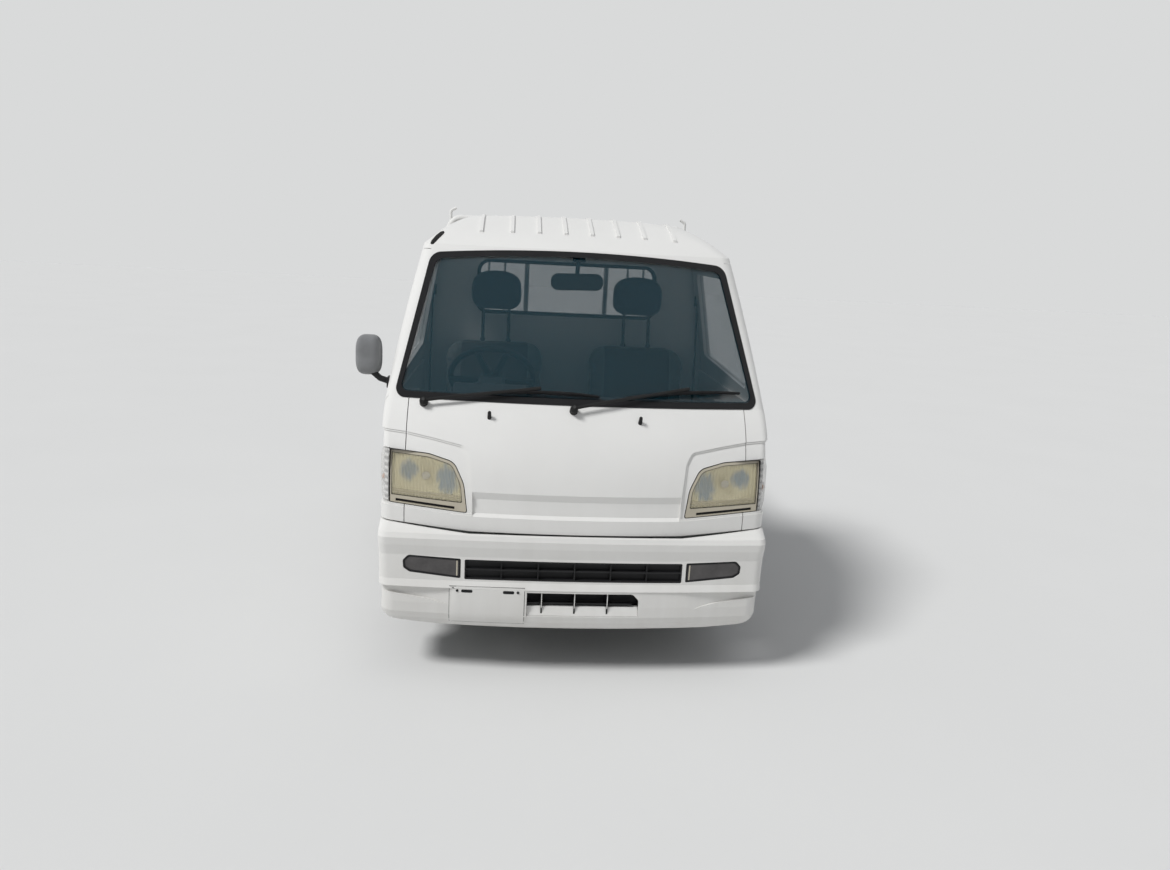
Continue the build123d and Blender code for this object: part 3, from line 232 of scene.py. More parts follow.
def paint_finish(name, colour, rough, coat, film):
    """Enamel with a thin dirt film that grows towards the ground and runs in faint streaks."""
    material, tree, shader = surface(name, rough, 0.0, coat)
    clean = patches(tree, 3.0, [c * 0.965 for c in colour], colour)
    streaks = noise(tree, 14.0, 5.0, (1, 1, 0.12))
    depth = calc(tree, "SUBTRACT", DIRT_TOP, coordinate(tree, "Z"))
    low = calc(tree, "MAXIMUM", calc(tree, "DIVIDE", depth, DIRT_TOP), DIRT_LEFT)
    amount = calc(tree, "MULTIPLY", calc(tree, "MULTIPLY", low, streaks), film)
    feed(tree, shader.inputs["Base Color"], mixed(tree, amount, clean, DIRT))
    bump(tree, shader, noise(tree, 60.0, 2.0), 0.01, 0.0004)
    return material


# Pitch in metres of the seat cloth's threads across and up, and width in which its two colours meet
THREADS = (0.0040, 0.0052)
PANEL_BLEND = 0.003


def seat_finish(name, middle, edge):
    """Woven seat cloth with a darker panel between the seams of each seat."""
    material, tree, shader = surface(name, 0.92)
    shader.inputs["Sheen Weight"].default_value = 0.15
    across = coordinate(tree, "X")
    up = calc(tree, "ADD", coordinate(tree, "Y"), coordinate(tree, "Z"))
    off = calc(tree, "ABSOLUTE", calc(tree, "SUBTRACT", calc(tree, "ABSOLUTE", across), SEAT_X / MM))
    panel = ramp(tree, off, SEAM_X / MM - PANEL_BLEND, SEAM_X / MM, middle, edge)
    wear = patches(tree, 30.0, (0.78, 0.78, 0.78), (1.0, 1.0, 1.0))
    feed(tree, shader.inputs["Base Color"], mixed(tree, 1.0, panel, wear, "MULTIPLY"))
    weave = calc(tree, "MULTIPLY", wave(tree, across, THREADS[0]), wave(tree, up, THREADS[1]))
    bump(tree, shader, weave, 0.5, 0.0006)
    return material


CAB_GLASS = dict(colour=(0.002, 0.044, 0.066), alpha=0.34, rough=0.02, ior=1.6)

GLASSES = {
    "screen_glass": CAB_GLASS,
    "door_glass": CAB_GLASS,
    "headlamp_lens": dict(colour=(0.62, 0.56, 0.38), alpha=0.26, rough=0.08, ior=1.7, flutes=0.010),
    "clear_lens": dict(colour=(0.84, 0.82, 0.79), alpha=0.3, rough=0.1, ior=1.6, flutes=0.007),
}

SOLIDS = {
    # Inside of the cab: the body's white paint darkened and tinted teal, painted shade of the dim cab behind
    # tinted glass
    "cab_inner_paint": dict(colour=(0.40, 0.43, 0.42), rough=0.5, spread=0.08),
    "chassis_black": dict(colour=(0.035, 0.035, 0.035), rough=0.55, spread=0.25, scale=9.0,
                          grain=(90, 0.1, 0.001)),
    "axle_iron": dict(colour=(0.07, 0.068, 0.065), rough=0.6, metal=0.3, spread=0.25, scale=12.0,
                      grain=(120, 0.2, 0.001)),
    "spring_steel": dict(colour=(0.09, 0.082, 0.075), rough=0.6, metal=0.5, spread=0.25, scale=14.0),
    "cast_alloy": dict(colour=(0.36, 0.36, 0.35), rough=0.55, metal=0.7, spread=0.15, scale=10.0,
                       grain=(150, 0.2, 0.001)),
    "exhaust_steel": dict(colour=(0.25, 0.20, 0.16), rough=0.6, metal=0.6, spread=0.3, scale=8.0),
    "seal_rubber": dict(colour=(0.014, 0.014, 0.015), rough=0.6, spread=0.2, scale=10.0,
                        grain=(200, 0.05, 0.0005), shine=0.25),
    "black_plastic": dict(colour=(0.018, 0.018, 0.019), rough=0.5, spread=0.2, scale=8.0,
                          grain=(400, 0.2, 0.0005), shine=0.25),
    "dash_plastic": dict(colour=(0.05, 0.055, 0.06), rough=0.6, spread=0.12, grain=(500, 0.3, 0.0005)),
    "smoke_lens": dict(colour=(0.055, 0.050, 0.050), rough=0.15, spread=0.35, scale=18.0, coat=0.5),
    "tail_lens": dict(colour=(0.42, 0.012, 0.010), rough=0.15, spread=0.15, scale=12.0, coat=0.6),
    "orange_lens": dict(colour=(0.62, 0.28, 0.14), rough=0.2, spread=0.08, scale=20.0, coat=0.6),
    "wiper_black": dict(colour=(0.016, 0.016, 0.016), rough=0.65, spread=0.2, scale=10.0, shine=0.3),
    "mirror_plastic": dict(colour=(0.21, 0.215, 0.22), rough=0.5, spread=0.2, scale=14.0,
                           grain=(300, 0.15, 0.0005)),
    "tyre_rubber": dict(colour=(0.022, 0.022, 0.022), rough=0.75, spread=0.25, scale=12.0,
                        grain=(200, 0.2, 0.001)),
    "rim_steel": dict(colour=(0.50, 0.50, 0.50), rough=0.35, metal=0.6, spread=0.08, scale=10.0),
    "lamp_frame": dict(colour=(0.50, 0.455, 0.36), rough=0.35, spread=0.08, scale=10.0, coat=0.4),
    "bright_metal": dict(colour=(0.62, 0.62, 0.62), rough=0.2, metal=1.0, spread=0.05, scale=8.0),
    "headrest_cloth": dict(colour=(0.035, 0.045, 0.075), rough=0.9, spread=0.15, scale=20.0,
                           grain=(600, 0.4, 0.001)),
}

FINISH = {
    **{name: solid(name, **look) for name, look in SOLIDS.items()},
    **{name: thin_glass(name, **look) for name, look in GLASSES.items()},
    "body_paint": paint_finish("body_paint", (0.80, 0.795, 0.775), 0.32, 0.4, 0.35),
    "bumper_paint": paint_finish("bumper_paint", (0.785, 0.78, 0.76), 0.38, 0.3, 0.5),
    "seat_cloth": seat_finish("seat_cloth", (0.062, 0.052, 0.048), (0.16, 0.16, 0.155)),
    # The reflector's second colour is painted reflection of the sky
    "reflector": reflector_with_painted_reflections("reflector", (0.80, 0.75, 0.55), (0.16, 0.30, 0.48)),
    # The lamp core's ribs carry a painted highlight on the crests and painted shade in the grooves
    "lamp_core": ribbed_finish_with_painted_shade("lamp_core", (0.72, 0.72, 0.71), (0.32, 0.32, 0.32), 0.024),
}

for part in frame["record"]["subparts"]:
    for holder in nodes[part["node"]].material_slots:
        holder.material = FINISH[part["material_slot"]]


# Shapes

BALL_RINGS = 12
PEBBLE_RINGS = 24
PEBBLE_POWER = 3.4


def add_piece(name, shape, body, slot, smooth=35.0, node=None):
    """Makes an object from a bmesh, rides it on a body and gives it a slot's finish.

    Edges that turn more than smooth degrees stay sharp. node is the CAD node that the piece stands in for.
    """
    bmesh.ops.recalc_face_normals(shape, faces=shape.faces)
    mesh = bpy.data.meshes.new(name)
    shape.to_mesh(mesh)
    shape.free()
    piece = bpy.data.objects.new(name, mesh)
    bpy.context.scene.collection.objects.link(piece)
    mesh.materials.append(FINISH[slot])
    mesh.shade_smooth()
    mesh.set_sharp_from_angle(angle=math.radians(smooth))
    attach(piece, body)
    if node:
        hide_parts(node)
    return piece


def rounded(points, steps=6):
    """Outline through (u, v) points in mm; a third value rounds that corner."""
    out = []
    count = len(points)
    for i, point in enumerate(points):
        here = Vector(point[:2])
        radius = point[2] if len(point) > 2 else 0
        if not radius:
            out.append(here)
            continue
        before = (Vector(points[i - 1][:2]) - here).normalized()
        after = (Vector(points[(i + 1) % count][:2]) - here).normalized()
        half = before.angle(after) / 2
        run = radius / math.tan(half)
        centre = here + (before + after).normalized() * (radius / math.sin(half))
        first = here + before * run - centre
        last = here + after * run - centre
        turn = first.angle_signed(last) if first.length else 0
        for step in range(steps + 1):
            out.append(centre + Matrix.Rotation(-turn * step / steps, 2) @ first)
    return out


def flip(points, side):
    """Outline points with their first value mirrored for side -1."""
    return [(point[0] * side, *point[1:]) for point in points]


def oblong(x0, x1, z0, z1, radius=0):
    """Upright oblong outline in mm."""
    return rounded([(x0, z0, radius), (x0, z1, radius), (x1, z1, radius), (x1, z0, radius)])


def only(kind, made):
    """Elements of one kind among those that a bmesh operation made."""
    return [item for item in made["geom"] if isinstance(item, kind)]


def bridge(shape, rings, closed=False):
    """Skin over a row of rings of points; the row closes on itself or is capped at both ends."""
    count = len(rings[0])
    following = rings[1:] + rings[:1] if closed else rings[1:]
    for one, two in zip(rings, following):
        for k in range(count):
            j = (k + 1) % count
            shape.faces.new((one[k], one[j], two[j], two[k]))
    if not closed:
        shape.faces.new(rings[0][::-1])
        shape.faces.new(rings[-1])


def loft(shape, rows):
    """Closed solid through rows of corners in mm."""
    bridge(shape, [[shape.verts.new(Vector(spot) / MM) for spot in row] for row in rows])


def block(shape, low, high, bevel, segments=2):
    """Box from low to high in mm, with rounded edges."""
    low, high = Vector(low) / MM, Vector(high) / MM
    size = high - low
    middle = (low + high) / 2
    made = bmesh.ops.create_cube(shape, size=1.0)
    for vert in made["verts"]:
        vert.co = vert.co * size + middle
    edges = list(dict.fromkeys(edge for vert in made["verts"] for edge in vert.link_edges))
    bmesh.ops.bevel(shape, geom=edges, offset=bevel / MM, segments=segments, affect="EDGES", profile=0.5)


def side_block(shape, side, xs, ys, zs, bevel):
    """Box between two x, two y and two z in mm, mirrored for side -1."""
    low, high = sorted((side * xs[0], side * xs[1]))
    block(shape, (low, ys[0], zs[0]), (high, ys[1], zs[1]), bevel)


def bar(shape, start, end, radius, sides=16, tip=None):
    """Round bar from start to end in mm; tip is the radius at the end."""
    start, end = Vector(start) / MM, Vector(end) / MM
    line = end - start
    turn = line.to_track_quat("Z", "Y").to_matrix().to_4x4()
    matrix = Matrix.Translation((start + end) / 2) @ turn
    far = radius if tip is None else tip
    bmesh.ops.create_cone(shape, cap_ends=True, segments=sides, radius1=radius / MM, radius2=far / MM,
                          depth=line.length, matrix=matrix)


def ball(shape, at, radius, scale=(1, 1, 1)):
    """Ball about a point in mm, stretched by scale."""
    matrix = Matrix.Translation(Vector(at) / MM) @ Matrix.Diagonal((*scale, 1))
    bmesh.ops.create_uvsphere(shape, u_segments=BALL_RINGS * 2, v_segments=BALL_RINGS, radius=radius / MM,
                              matrix=matrix)


def pebble(shape, at, half, back):
    """Rounded box about a point in mm, as a superellipsoid, cut flat at y = back."""
    made = bmesh.ops.create_uvsphere(shape, u_segments=PEBBLE_RINGS * 2, v_segments=PEBBLE_RINGS, radius=1.0)
    for vert in made["verts"]:
        span = sum(abs(c) ** PEBBLE_POWER for c in vert.co) ** (1 / PEBBLE_POWER)
        x, y, z = (at[i] + vert.co[i] / span * half[i] for i in range(3))
        vert.co = Vector((x, min(y, back), z)) / MM
    bmesh.ops.remove_doubles(shape, verts=made["verts"], dist=0.0001)


def tube(shape, points, radius, sides=12):
    """Round tube through points in mm."""
    spots = [Vector(point) / MM for point in points]
    rings = []
    for i, spot in enumerate(spots):
        ahead = spots[min(i + 1, len(spots) - 1)] - spots[max(i - 1, 0)]
        turn = ahead.to_track_quat("Z", "Y")
        ring = []
        for k in range(sides):
            angle = 2 * math.pi * k / sides
            off = turn @ Vector((math.cos(angle), math.sin(angle), 0)) * (radius / MM)
            ring.append(shape.verts.new(spot + off))
        rings.append(ring)
    bridge(shape, rings)


def lathe(shape, profile, centre, axis, sides, cut=None):
    """Turns a closed profile of (along, radius) points in mm about an axis through centre.

    cut gives what is taken off a radius, from the step round the axis and the point.
    """
    centre = Vector(centre) / MM
    turn = Vector(axis).to_track_quat("Z", "Y")
    rings = []
    for k in range(sides):
        angle = 2 * math.pi * k / sides
        ring = []
        for along, radius in profile:
            out = radius - cut(k, along, radius) if cut else radius
            spot = turn @ Vector((out * math.cos(angle), out * math.sin(angle), along)) / MM
            ring.append(shape.verts.new(centre + spot))
        rings.append(ring)
    bridge(shape, rings, closed=True)


def surface_of(*names):
    """Ray target made from CAD nodes, which hold their place in their vertices."""
    verts, faces = [], []
    for name in names:
        mesh = nodes[name].data
        start = len(verts)
        verts += [vert.co.copy() for vert in mesh.vertices]
        faces += [[start + i for i in poly.vertices] for poly in mesh.polygons]
    return BVHTree.FromPolygons(verts, faces)


# y taken where a line from the front meets nothing
OPEN_Y = -1600


def front_y(target, x, z):
    """Where a line from the front meets the target; all in mm."""
    spot = target.ray_cast(Vector((x / MM, -3, z / MM)), Vector((0, 1, 0)))[0]
    return OPEN_Y if spot is None else spot.y * MM


def side_x(target, y, z, side):
    """Where a line from one side meets the target, and 0 where it meets nothing; all in mm."""
    spot = target.ray_cast(Vector((side * 2, y / MM, z / MM)), Vector((-side, 0, 0)))[0]
    return 0.0 if spot is None else spot.x * MM


def sheet(shape, loops, target, depth, thick, step=14.0, relief=None):
    """Plate over outline loops (x, z; holes after the first), laid on the target from the front.

    depth is how far behind the surface it lies, thick how far it reaches back and step its mesh size.
    relief gives more depth at an x and z. All in mm.
    """
    edges = []
    for loop in loops:
        ring = [shape.verts.new((x / MM, 0, z / MM)) for x, z in loop]
        edges += [shape.edges.new(ends) for ends in zip(ring, ring[1:] + ring[:1])]
    filled = bmesh.ops.triangle_fill(shape, use_beauty=True, use_dissolve=False, edges=edges,
                                     normal=(0, -1, 0))
    faces = only(bmesh.types.BMFace, filled)
    for places, normal in zip(zip(*loops[0]), ((1, 0, 0), (0, 0, 1))):
        low, high = min(places), max(places)
        count = int((high - low) / step)
        for i in range(1, count):
            at = (low + (high - low) * i / count) / MM
            around = [item for face in faces for item in (*face.edges, *face.verts)]
            live = list(dict.fromkeys([*faces, *around]))
            cut = bmesh.ops.bisect_plane(shape, geom=live, plane_co=Vector(normal) * at, plane_no=normal)
            faces = only(bmesh.types.BMFace, cut)
    for vert in {vert for face in faces for vert in face.verts}:
        x, z = vert.co.x * MM, vert.co.z * MM
        more = relief(x, z) if relief else 0
        vert.co.y = (front_y(target, x, z) + depth + more) / MM
    grown = bmesh.ops.extrude_face_region(shape, geom=faces)
    for vert in only(bmesh.types.BMVert, grown):
        vert.co.y += thick / MM
    return shape


# Headlamps: frame with its slot, lens, reflector, bulb, trim bars and the dark gap round the frame

LAMP_EDGE = [(697, 675), (697, 871), (556, 861, 119), (463, 835, 49), (425, 758, 119), (411, 651, 7)]
LENS_EDGE = [(692.5, 702.5), (692.5, 861), (557, 851, 110), (470, 827, 42), (435, 756, 110), (428, 686, 6)]
GROOVE_EDGE = [(690.9, 704.1), (690.9, 859.4), (557.3, 849.4, 108), (471.3, 825.8, 40), (436.6, 755.4, 108),
               (429.6, 687.7, 5)]
GAP_EDGE = [(699, 673), (699, 873), (555.5, 863, 121), (461.5, 837, 51), (423, 758.5, 121), (408.5, 648.5, 7)]
LAMP_SLOT = [(676, 678), (676, 689), (456, 671), (456, 660)]
LAMP_X, LAMP_Z = 565, 778
# Half width, half height and depth of the reflector's dish, depth and pitch of the ribs round it
DISH = (92, 66, 24)
RIBS = (1.2, 13)
TRIM_Z = (706, 716)
# Angle that keeps the wavy lamp surfaces smooth
LAMP_SMOOTH = 60


def bowl(x, z):
    """Depth of the reflector behind the lens: an oval dish in a ribbed margin."""
    far = math.hypot((abs(x) - LAMP_X) / DISH[0], (z - LAMP_Z) / DISH[1])
    ribs = RIBS[0] * math.sin(2 * math.pi * x / RIBS[1])
    return DISH[2] * max(0.0, 1 - far ** 2) + ribs


def headlamp(side, name):
    """All pieces of one headlamp, in the order in which they are made."""
    target = surface_of("headlamps")
    around = surface_of("headlamps", "front_panel", "corner_panels", "corner_lamps")
    outlines = (LAMP_EDGE, LENS_EDGE, GROOVE_EDGE, GAP_EDGE, LAMP_SLOT)
    edge, lens, groove, gap, slot = (rounded(flip(points, side)) for points in outlines)
    x, z = side * LAMP_X, LAMP_Z
    y = front_y(target, x, z)
    bulb = bmesh.new()
    bar(bulb, (x, y + 12, z), (x, y + 31, z), 15, 24)
    ball(bulb, (x, y + 13, z), 17, (1, 0.5, 1))
    trim = bmesh.new()
    for low in TRIM_Z:
        line = [(689, low + 4), (689, low + 9), (434, low - 5), (434, low - 10)]
        sheet(trim, [rounded(flip(line, side))], target, 4.5, 4)
    parts = (
        ("frame", sheet(bmesh.new(), [edge, lens, slot], target, 0.5, 26), "lamp_frame"),
        ("slot", sheet(bmesh.new(), [slot], target, 8, 3), "seal_rubber"),
        ("cover", sheet(bmesh.new(), [lens], target, 0.8, 3.2, 10), "headlamp_lens", LAMP_SMOOTH),
        ("dish", sheet(bmesh.new(), [lens], target, 8, 2, 3.2, bowl), "reflector", LAMP_SMOOTH),
        ("bulb", bulb, "bright_metal"),
        ("gap", sheet(bmesh.new(), [gap, edge], around, -0.3, 3, 30), "seal_rubber"),
        ("groove", sheet(bmesh.new(), [lens, groove], target, 0.3, 6), "seal_rubber"),
        ("trim", trim, "lamp_frame"),
    )
    for part, shape, *look in parts:
        add_piece(f"headlamp_{part}_{name}", shape, "chassis", *look, node="headlamps")


for side, name in SIDES.items():
    headlamp(side, name)


# Corner lamps: clear cover and ribbed inside

# In metres: x outside which the cover bulges, the bulge, the run-out at its edges and the cover's wall
CORNER_IN = 0.720
CORNER_BULGE = 0.0065
CORNER_RUN = 0.03
CORNER_WALL = 0.006

corner_low, corner_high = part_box("corner_lamps")


def corner_lamp(side, name):
    """One corner lamp: the CAD shape bulged outwards as the cover, and shrunk as the inside."""
    cover = bmesh.new()
    cover.from_mesh(nodes["corner_lamps"].data)
    other = [vert for vert in cover.verts if vert.co.x * side < 0]
    bmesh.ops.delete(cover, geom=other, context="VERTS")
    core = cover.copy()
    for vert in cover.verts:
        room = min(vert.co.z - corner_low[2], corner_high[2] - vert.co.z, corner_high[1] - vert.co.y)
        if abs(vert.co.x) > CORNER_IN:
            vert.co.x += side * CORNER_BULGE * min(1.0, max(0.0, room / CORNER_RUN))
    bmesh.ops.remove_doubles(core, verts=core.verts, dist=0.00001)
    core.normal_update()
    for vert in core.verts:
        vert.co -= vert.normal * CORNER_WALL
    add_piece(f"corner_cover_{name}", cover, "chassis", "clear_lens", node="corner_lamps")
    add_piece(f"corner_inside_{name}", core, "chassis", "lamp_core", node="corner_lamps")


for side, name in SIDES.items():
    corner_lamp(side, name)


# Side repeaters: clear domes over orange bulbs

# Place as y, z
REPEATER = (-1556, 758)

domes = bmesh.new()
bulbs = bmesh.new()
for side in SIDES:
    ball(domes, (side * 721, *REPEATER), 16, (1, 1.3, 1.5))
    ball(bulbs, (side * 724, *REPEATER), 9, (1, 1.3, 1.3))
add_piece("side_repeater_covers", domes, "chassis", "clear_lens")
add_piece("side_repeaters", bulbs, "chassis", "orange_lens")


# Washer nozzles and aerial base

NOZZLES_X = (-338, 228)
# The aerial base as distance along its line and radius, its foot and its line
AERIAL = [(0, 0.01), (4, 8), (20, 12), (62, 13), (96, 10), (111, 5), (114, 0.01)]
AERIAL_FOOT = (-599, -1137, 1615)
AERIAL_LINE = (0.34, 0.80, 0.46)

nozzles = bmesh.new()
panel = surface_of("front_panel")
for x in NOZZLES_X:
    y = front_y(panel, x, 998)
    bar(nozzles, (x, y + 3, 994), (x, y - 15, 1020), 8, 16, 6.5)
    ball(nozzles, (x, y - 15, 1020), 6.5)
add_piece("washer_nozzles", nozzles, "chassis", "wiper_black")
aerial = bmesh.new()
lathe(aerial, AERIAL, AERIAL_FOOT, AERIAL_LINE, 24)
add_piece("aerial_base", aerial, "chassis", "wiper_black")


# Seats: cushions pressed out by a cloth simulation, seams, headrests on posts, frame

SEAT_HALF = 238
# Side outline as y, z; front outlines as x from the seat's middle, z
CUSHION = [(-1030, 690, 20), (-1042, 792, 36), (-980, 820, 40), (-610, 792, 14), (-610, 690, 10)]
BACK = [(-238, 742, 30), (238, 742, 30), (238, 1182, 84), (-238, 1182, 84)]
REST = [(-118, 1320, 58), (118, 1320, 58), (118, 1498, 66), (-118, 1498, 66)]
# In metres: reach and depth of a seam, mesh size, and height above its foot to which a cushion is held
SEAM_REACH = 0.02
SEAM_DEPTH = 0.005
VOXEL = 0.007
HELD = 0.012
CLOTH_FRAMES = 20


def apply(piece):
    """Replaces the mesh by what the modifiers make of it."""
    graph = bpy.context.evaluated_depsgraph_get()
    made = bpy.data.meshes.new_from_object(piece.evaluated_get(graph))
    piece.modifiers.clear()
    piece.data = made


def blow_out(piece, move, press):
    """Presses a cushion out by cloth simulation, each point no further than move metres."""
    before = [vert.co.copy() for vert in piece.data.vertices]
    low = min(co.z for co in before)
    held = [i for i, co in enumerate(before) if co.z < low + HELD]
    pins = piece.vertex_groups.new(name="pins")
    pins.add(held, 1.0, "REPLACE")
    cloth = piece.modifiers.new("cloth", "CLOTH")
    cloth.settings.quality = 4
    cloth.settings.mass = 0.3
    cloth.settings.tension_stiffness = 12
    cloth.settings.compression_stiffness = 12
    cloth.settings.shear_stiffness = 5
    cloth.settings.bending_stiffness = 0.4
    cloth.settings.use_pressure = True
    cloth.settings.uniform_pressure_force = press
    cloth.settings.effector_weights.gravity = 0
    cloth.settings.vertex_group_mass = "pins"
    cloth.point_cache.frame_start = 1
    cloth.point_cache.frame_end = CLOTH_FRAMES
    for step in range(CLOTH_FRAMES):
        bpy.context.scene.frame_set(step + 1)
    apply(piece)
    bpy.context.scene.frame_set(1)
    piece.vertex_groups.clear()
    for vert, start in zip(piece.data.vertices, before):
        shift = vert.co - start
        if shift.length > move:
            vert.co = start + shift.normalized() * move
    piece.data.shade_smooth()


def crease(piece, x):
    """Presses a lengthwise seam into the cushion at x in mm."""
    for vert in piece.data.vertices:
        far = abs(vert.co.x - x / MM)
        if far < SEAM_REACH:
            vert.co -= vert.normal * SEAM_DEPTH * (1 - far / SEAM_REACH) ** 2


def pillow(name, shape, slot, node, move, press, seams=()):
    """Cushion: a closed shape remeshed, then blown out as cloth, with its seams pressed in."""
    piece = add_piece(name, shape, "chassis", slot, 80)
    remesh = piece.modifiers.new("remesh", "REMESH")
    remesh.mode = "VOXEL"
    remesh.voxel_size = VOXEL
    remesh.use_smooth_shade = True
    apply(piece)
    blow_out(piece, move, press)
    for seam in seams:
        crease(piece, seam)
    soft = piece.modifiers.new("soft", "SMOOTH")
    soft.factor = 0.5
    soft.iterations = 3
    apply(piece)
    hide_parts(node)


def grow(ring, run, bevel):
    """Solid from a ring of corners in mm, extruded by run and rounded at both ends, both in metres."""
    shape = bmesh.new()
    base = shape.faces.new([shape.verts.new(Vector(spot) / MM) for spot in ring])
    grown = bmesh.ops.extrude_face_region(shape, geom=[base])
    for vert in only(bmesh.types.BMVert, grown):
        vert.co += run
    ends = [edge for edge in shape.edges if abs((edge.verts[0].co - edge.verts[1].co).dot(run)) < 1e-7]
    bmesh.ops.bevel(shape, geom=ends, offset=bevel, segments=4, affect="EDGES", profile=0.55)
    return shape


def side_shape(profile, x0, x1):
    """Shape with a side outline (y, z in mm) carried from x0 to x1."""
    ring = [(x0, *point) for point in rounded(profile, 5)]
    return grow(ring, Vector(((x1 - x0) / MM, 0, 0)), 0.022)


def leaning_shape(outline, middle, y0, y1, lean, bevel):
    """Shape with a front outline (x from the middle, z in mm) carried from y0 to y1 and leaning back."""
    low = min(point[1] for point in outline)
    ring = [(middle + x, y0 + (z - low) * lean, z) for x, z in rounded(outline)]
    return grow(ring, Vector((0, (y1 - y0) / MM, 0)), bevel)


def seat(side, name):
    """Cushion, back and headrest of one seat, with posts and base."""
    node = f"{name}_seat"
    x = side * SEAT_X
    seams = (x - SEAM_X, x + SEAM_X)
    cushion = side_shape(CUSHION, x - SEAT_HALF, x + SEAT_HALF)
    pillow(f"{name}_cushion", cushion, "seat_cloth", node, 0.02, 4, seams)
    back = leaning_shape(BACK, x, -645, -540, 0.21, 0.03)
    pillow(f"{name}_back", back, "seat_cloth", node, 0.02, 4, seams)
    rest = leaning_shape(REST, x, -492, -422, 0.05, 0.026)
    pillow(f"{name}_headrest", rest, "headrest_cloth", node, 0.01, 3)
    posts = bmesh.new()
    for post in (x - 62, x + 62):
        bar(posts, (post, -488, 1150), (post, -454, 1335), 7.5)
        lathe(posts, [(0, 7), (0, 13), (10, 11), (10, 7)], (post, -486, 1168), (0, 0.18, 1), 20)
    add_piece(f"{name}_headrest_posts", posts, "chassis", "black_plastic", node=node)
    base = bmesh.new()
    block(base, (x - 205, -1000, 651), (x + 205, -565, 690), 6)
    for edge in (x - 232, x + 232):
        block(base, (edge - 4, -640, 700), (edge + 4, -520, 800), 3)
    add_piece(f"{name}_seat_base", base, "chassis", "chassis_black", node=node)


seat(-1, "driver")
seat(1, "passenger")


# Doors: rubber round the glass, lock, window winder and pull

# The rubber in mm: outline as y, z, width, half thickness, and the largest step across its width
WINDOW_EDGE = [(-1336, 1087, 30), (-1042, 1539, 52), (-485, 1543, 38), (-485, 1134, 38)]
RUBBER_WIDE = 13
RUBBER_THICK = 2
RUBBER_STEP = 12
# Places of the lock and of the winder's hub and knob, as y, z
LOCK = (-640, 1010)
HUB = (-1120, 830)
KNOB = (-1040, 770)


def side_ring(points, side, target):
    """Strip along a closed outline (y, z in mm) on the side of the cab."""
    shape = bmesh.new()
    path = rounded(points)
    lift = Vector((side * RUBBER_THICK / MM, 0, 0))
    rings = []
    for before, here, after in zip(path[-1:] + path[:-1], path, path[1:] + path[:1]):
        along = (after - before).normalized()
        out = Vector((along.y, -along.x)) * RUBBER_WIDE / 2
        corners = (here - out, here + out)
        hits = [side_x(target, *corner, side) for corner in corners]
        outer = max(hits, key=lambda x: x * side)
        spots = []
        for corner, x in zip(corners, hits):
            if abs(outer - x) > RUBBER_STEP:
                x = outer
            spots.append(Vector((x, *corner)) / MM)
        low, high = spots
        rings.append([shape.verts.new(spot) for spot in (low - lift, low + lift, high + lift, high - lift)])
    bridge(shape, rings, closed=True)
    return shape


for side, name in SIDES.items():
    body = f"door_{name}"
    target = surface_of(body)
    add_piece(f"window_rubber_{name}", side_ring(WINDOW_EDGE, side, target), body, "seal_rubber", 40)
    x = side_x(target, *LOCK, side)
    lock = bmesh.new()
    bar(lock, (x - side * 2, *LOCK), (x + side, *LOCK), 9, 24)
    add_piece(f"door_lock_{name}", lock, body, "bright_metal")
    winder = bmesh.new()
    bar(winder, (side * 692, *HUB), (side * 676, *HUB), 16, 24)
    tube(winder, [(side * 680, *HUB), (side * 672, -1080, 800), (side * 672, *KNOB)], 6)
    bar(winder, (side * 676, *KNOB), (side * 646, *KNOB), 9, 16)
    side_block(winder, side, (672, 690), (-1150, -1060), (930, 962), 5)
    add_piece(f"door_winder_{name}", winder, body, "black_plastic")


# Dashboard: vents with slats, heater panel with knobs, instruments

VENTS_X = (-600, -120, 120, 600)
SLATS_Z = (942, 952, 962, 972, 982)
TOP_VENTS_X = (-420, -140, 140, 420)
TOP_SLAT_PITCH = 15

vents = bmesh.new()
slats = bmesh.new()
for x in VENTS_X:
    block(vents, (x - 62, -1234, 930), (x + 62, -1218, 990), 5)
    for z in SLATS_Z:
        block(slats, (x - 56, -1221, z - 2), (x + 56, -1213, z + 2), 1)
for x in TOP_VENTS_X:
    block(vents, (x - 110, -1500, 1023), (x + 110, -1478, 1032), 3)
    for at in range(x - 100, x + 100, TOP_SLAT_PITCH):
        block(slats, (at, -1498, 1031), (at + 5, -1480, 1034), 0.5)
add_piece("dash_vents", vents, "chassis", "black_plastic")
add_piece("dash_vent_slats", slats, "chassis", "dash_plastic")
heater = bmesh.new()
block(heater, (-70, -1238, 800), (70, -1222, 910), 6)
for x in (-40, 0, 40):
    bar(heater, (x, -1224, 830), (x, -1204, 830), 13, 24, 11)
block(heater, (-60, -1228, 862), (60, -1216, 898), 3)
add_piece("dash_heater", heater, "chassis", "black_plastic")
dials = bmesh.new()
for x, radius in ((-400, 42), (-310, 42), (-355, 16)):
    bar(dials, (x, -1232, 1034), (x, -1226, 1034), radius, 32)
add_piece("dash_dials", dials, "chassis", "bright_metal")


# Sun visors, belts with their buckles, foot of the room mirror and floor mats

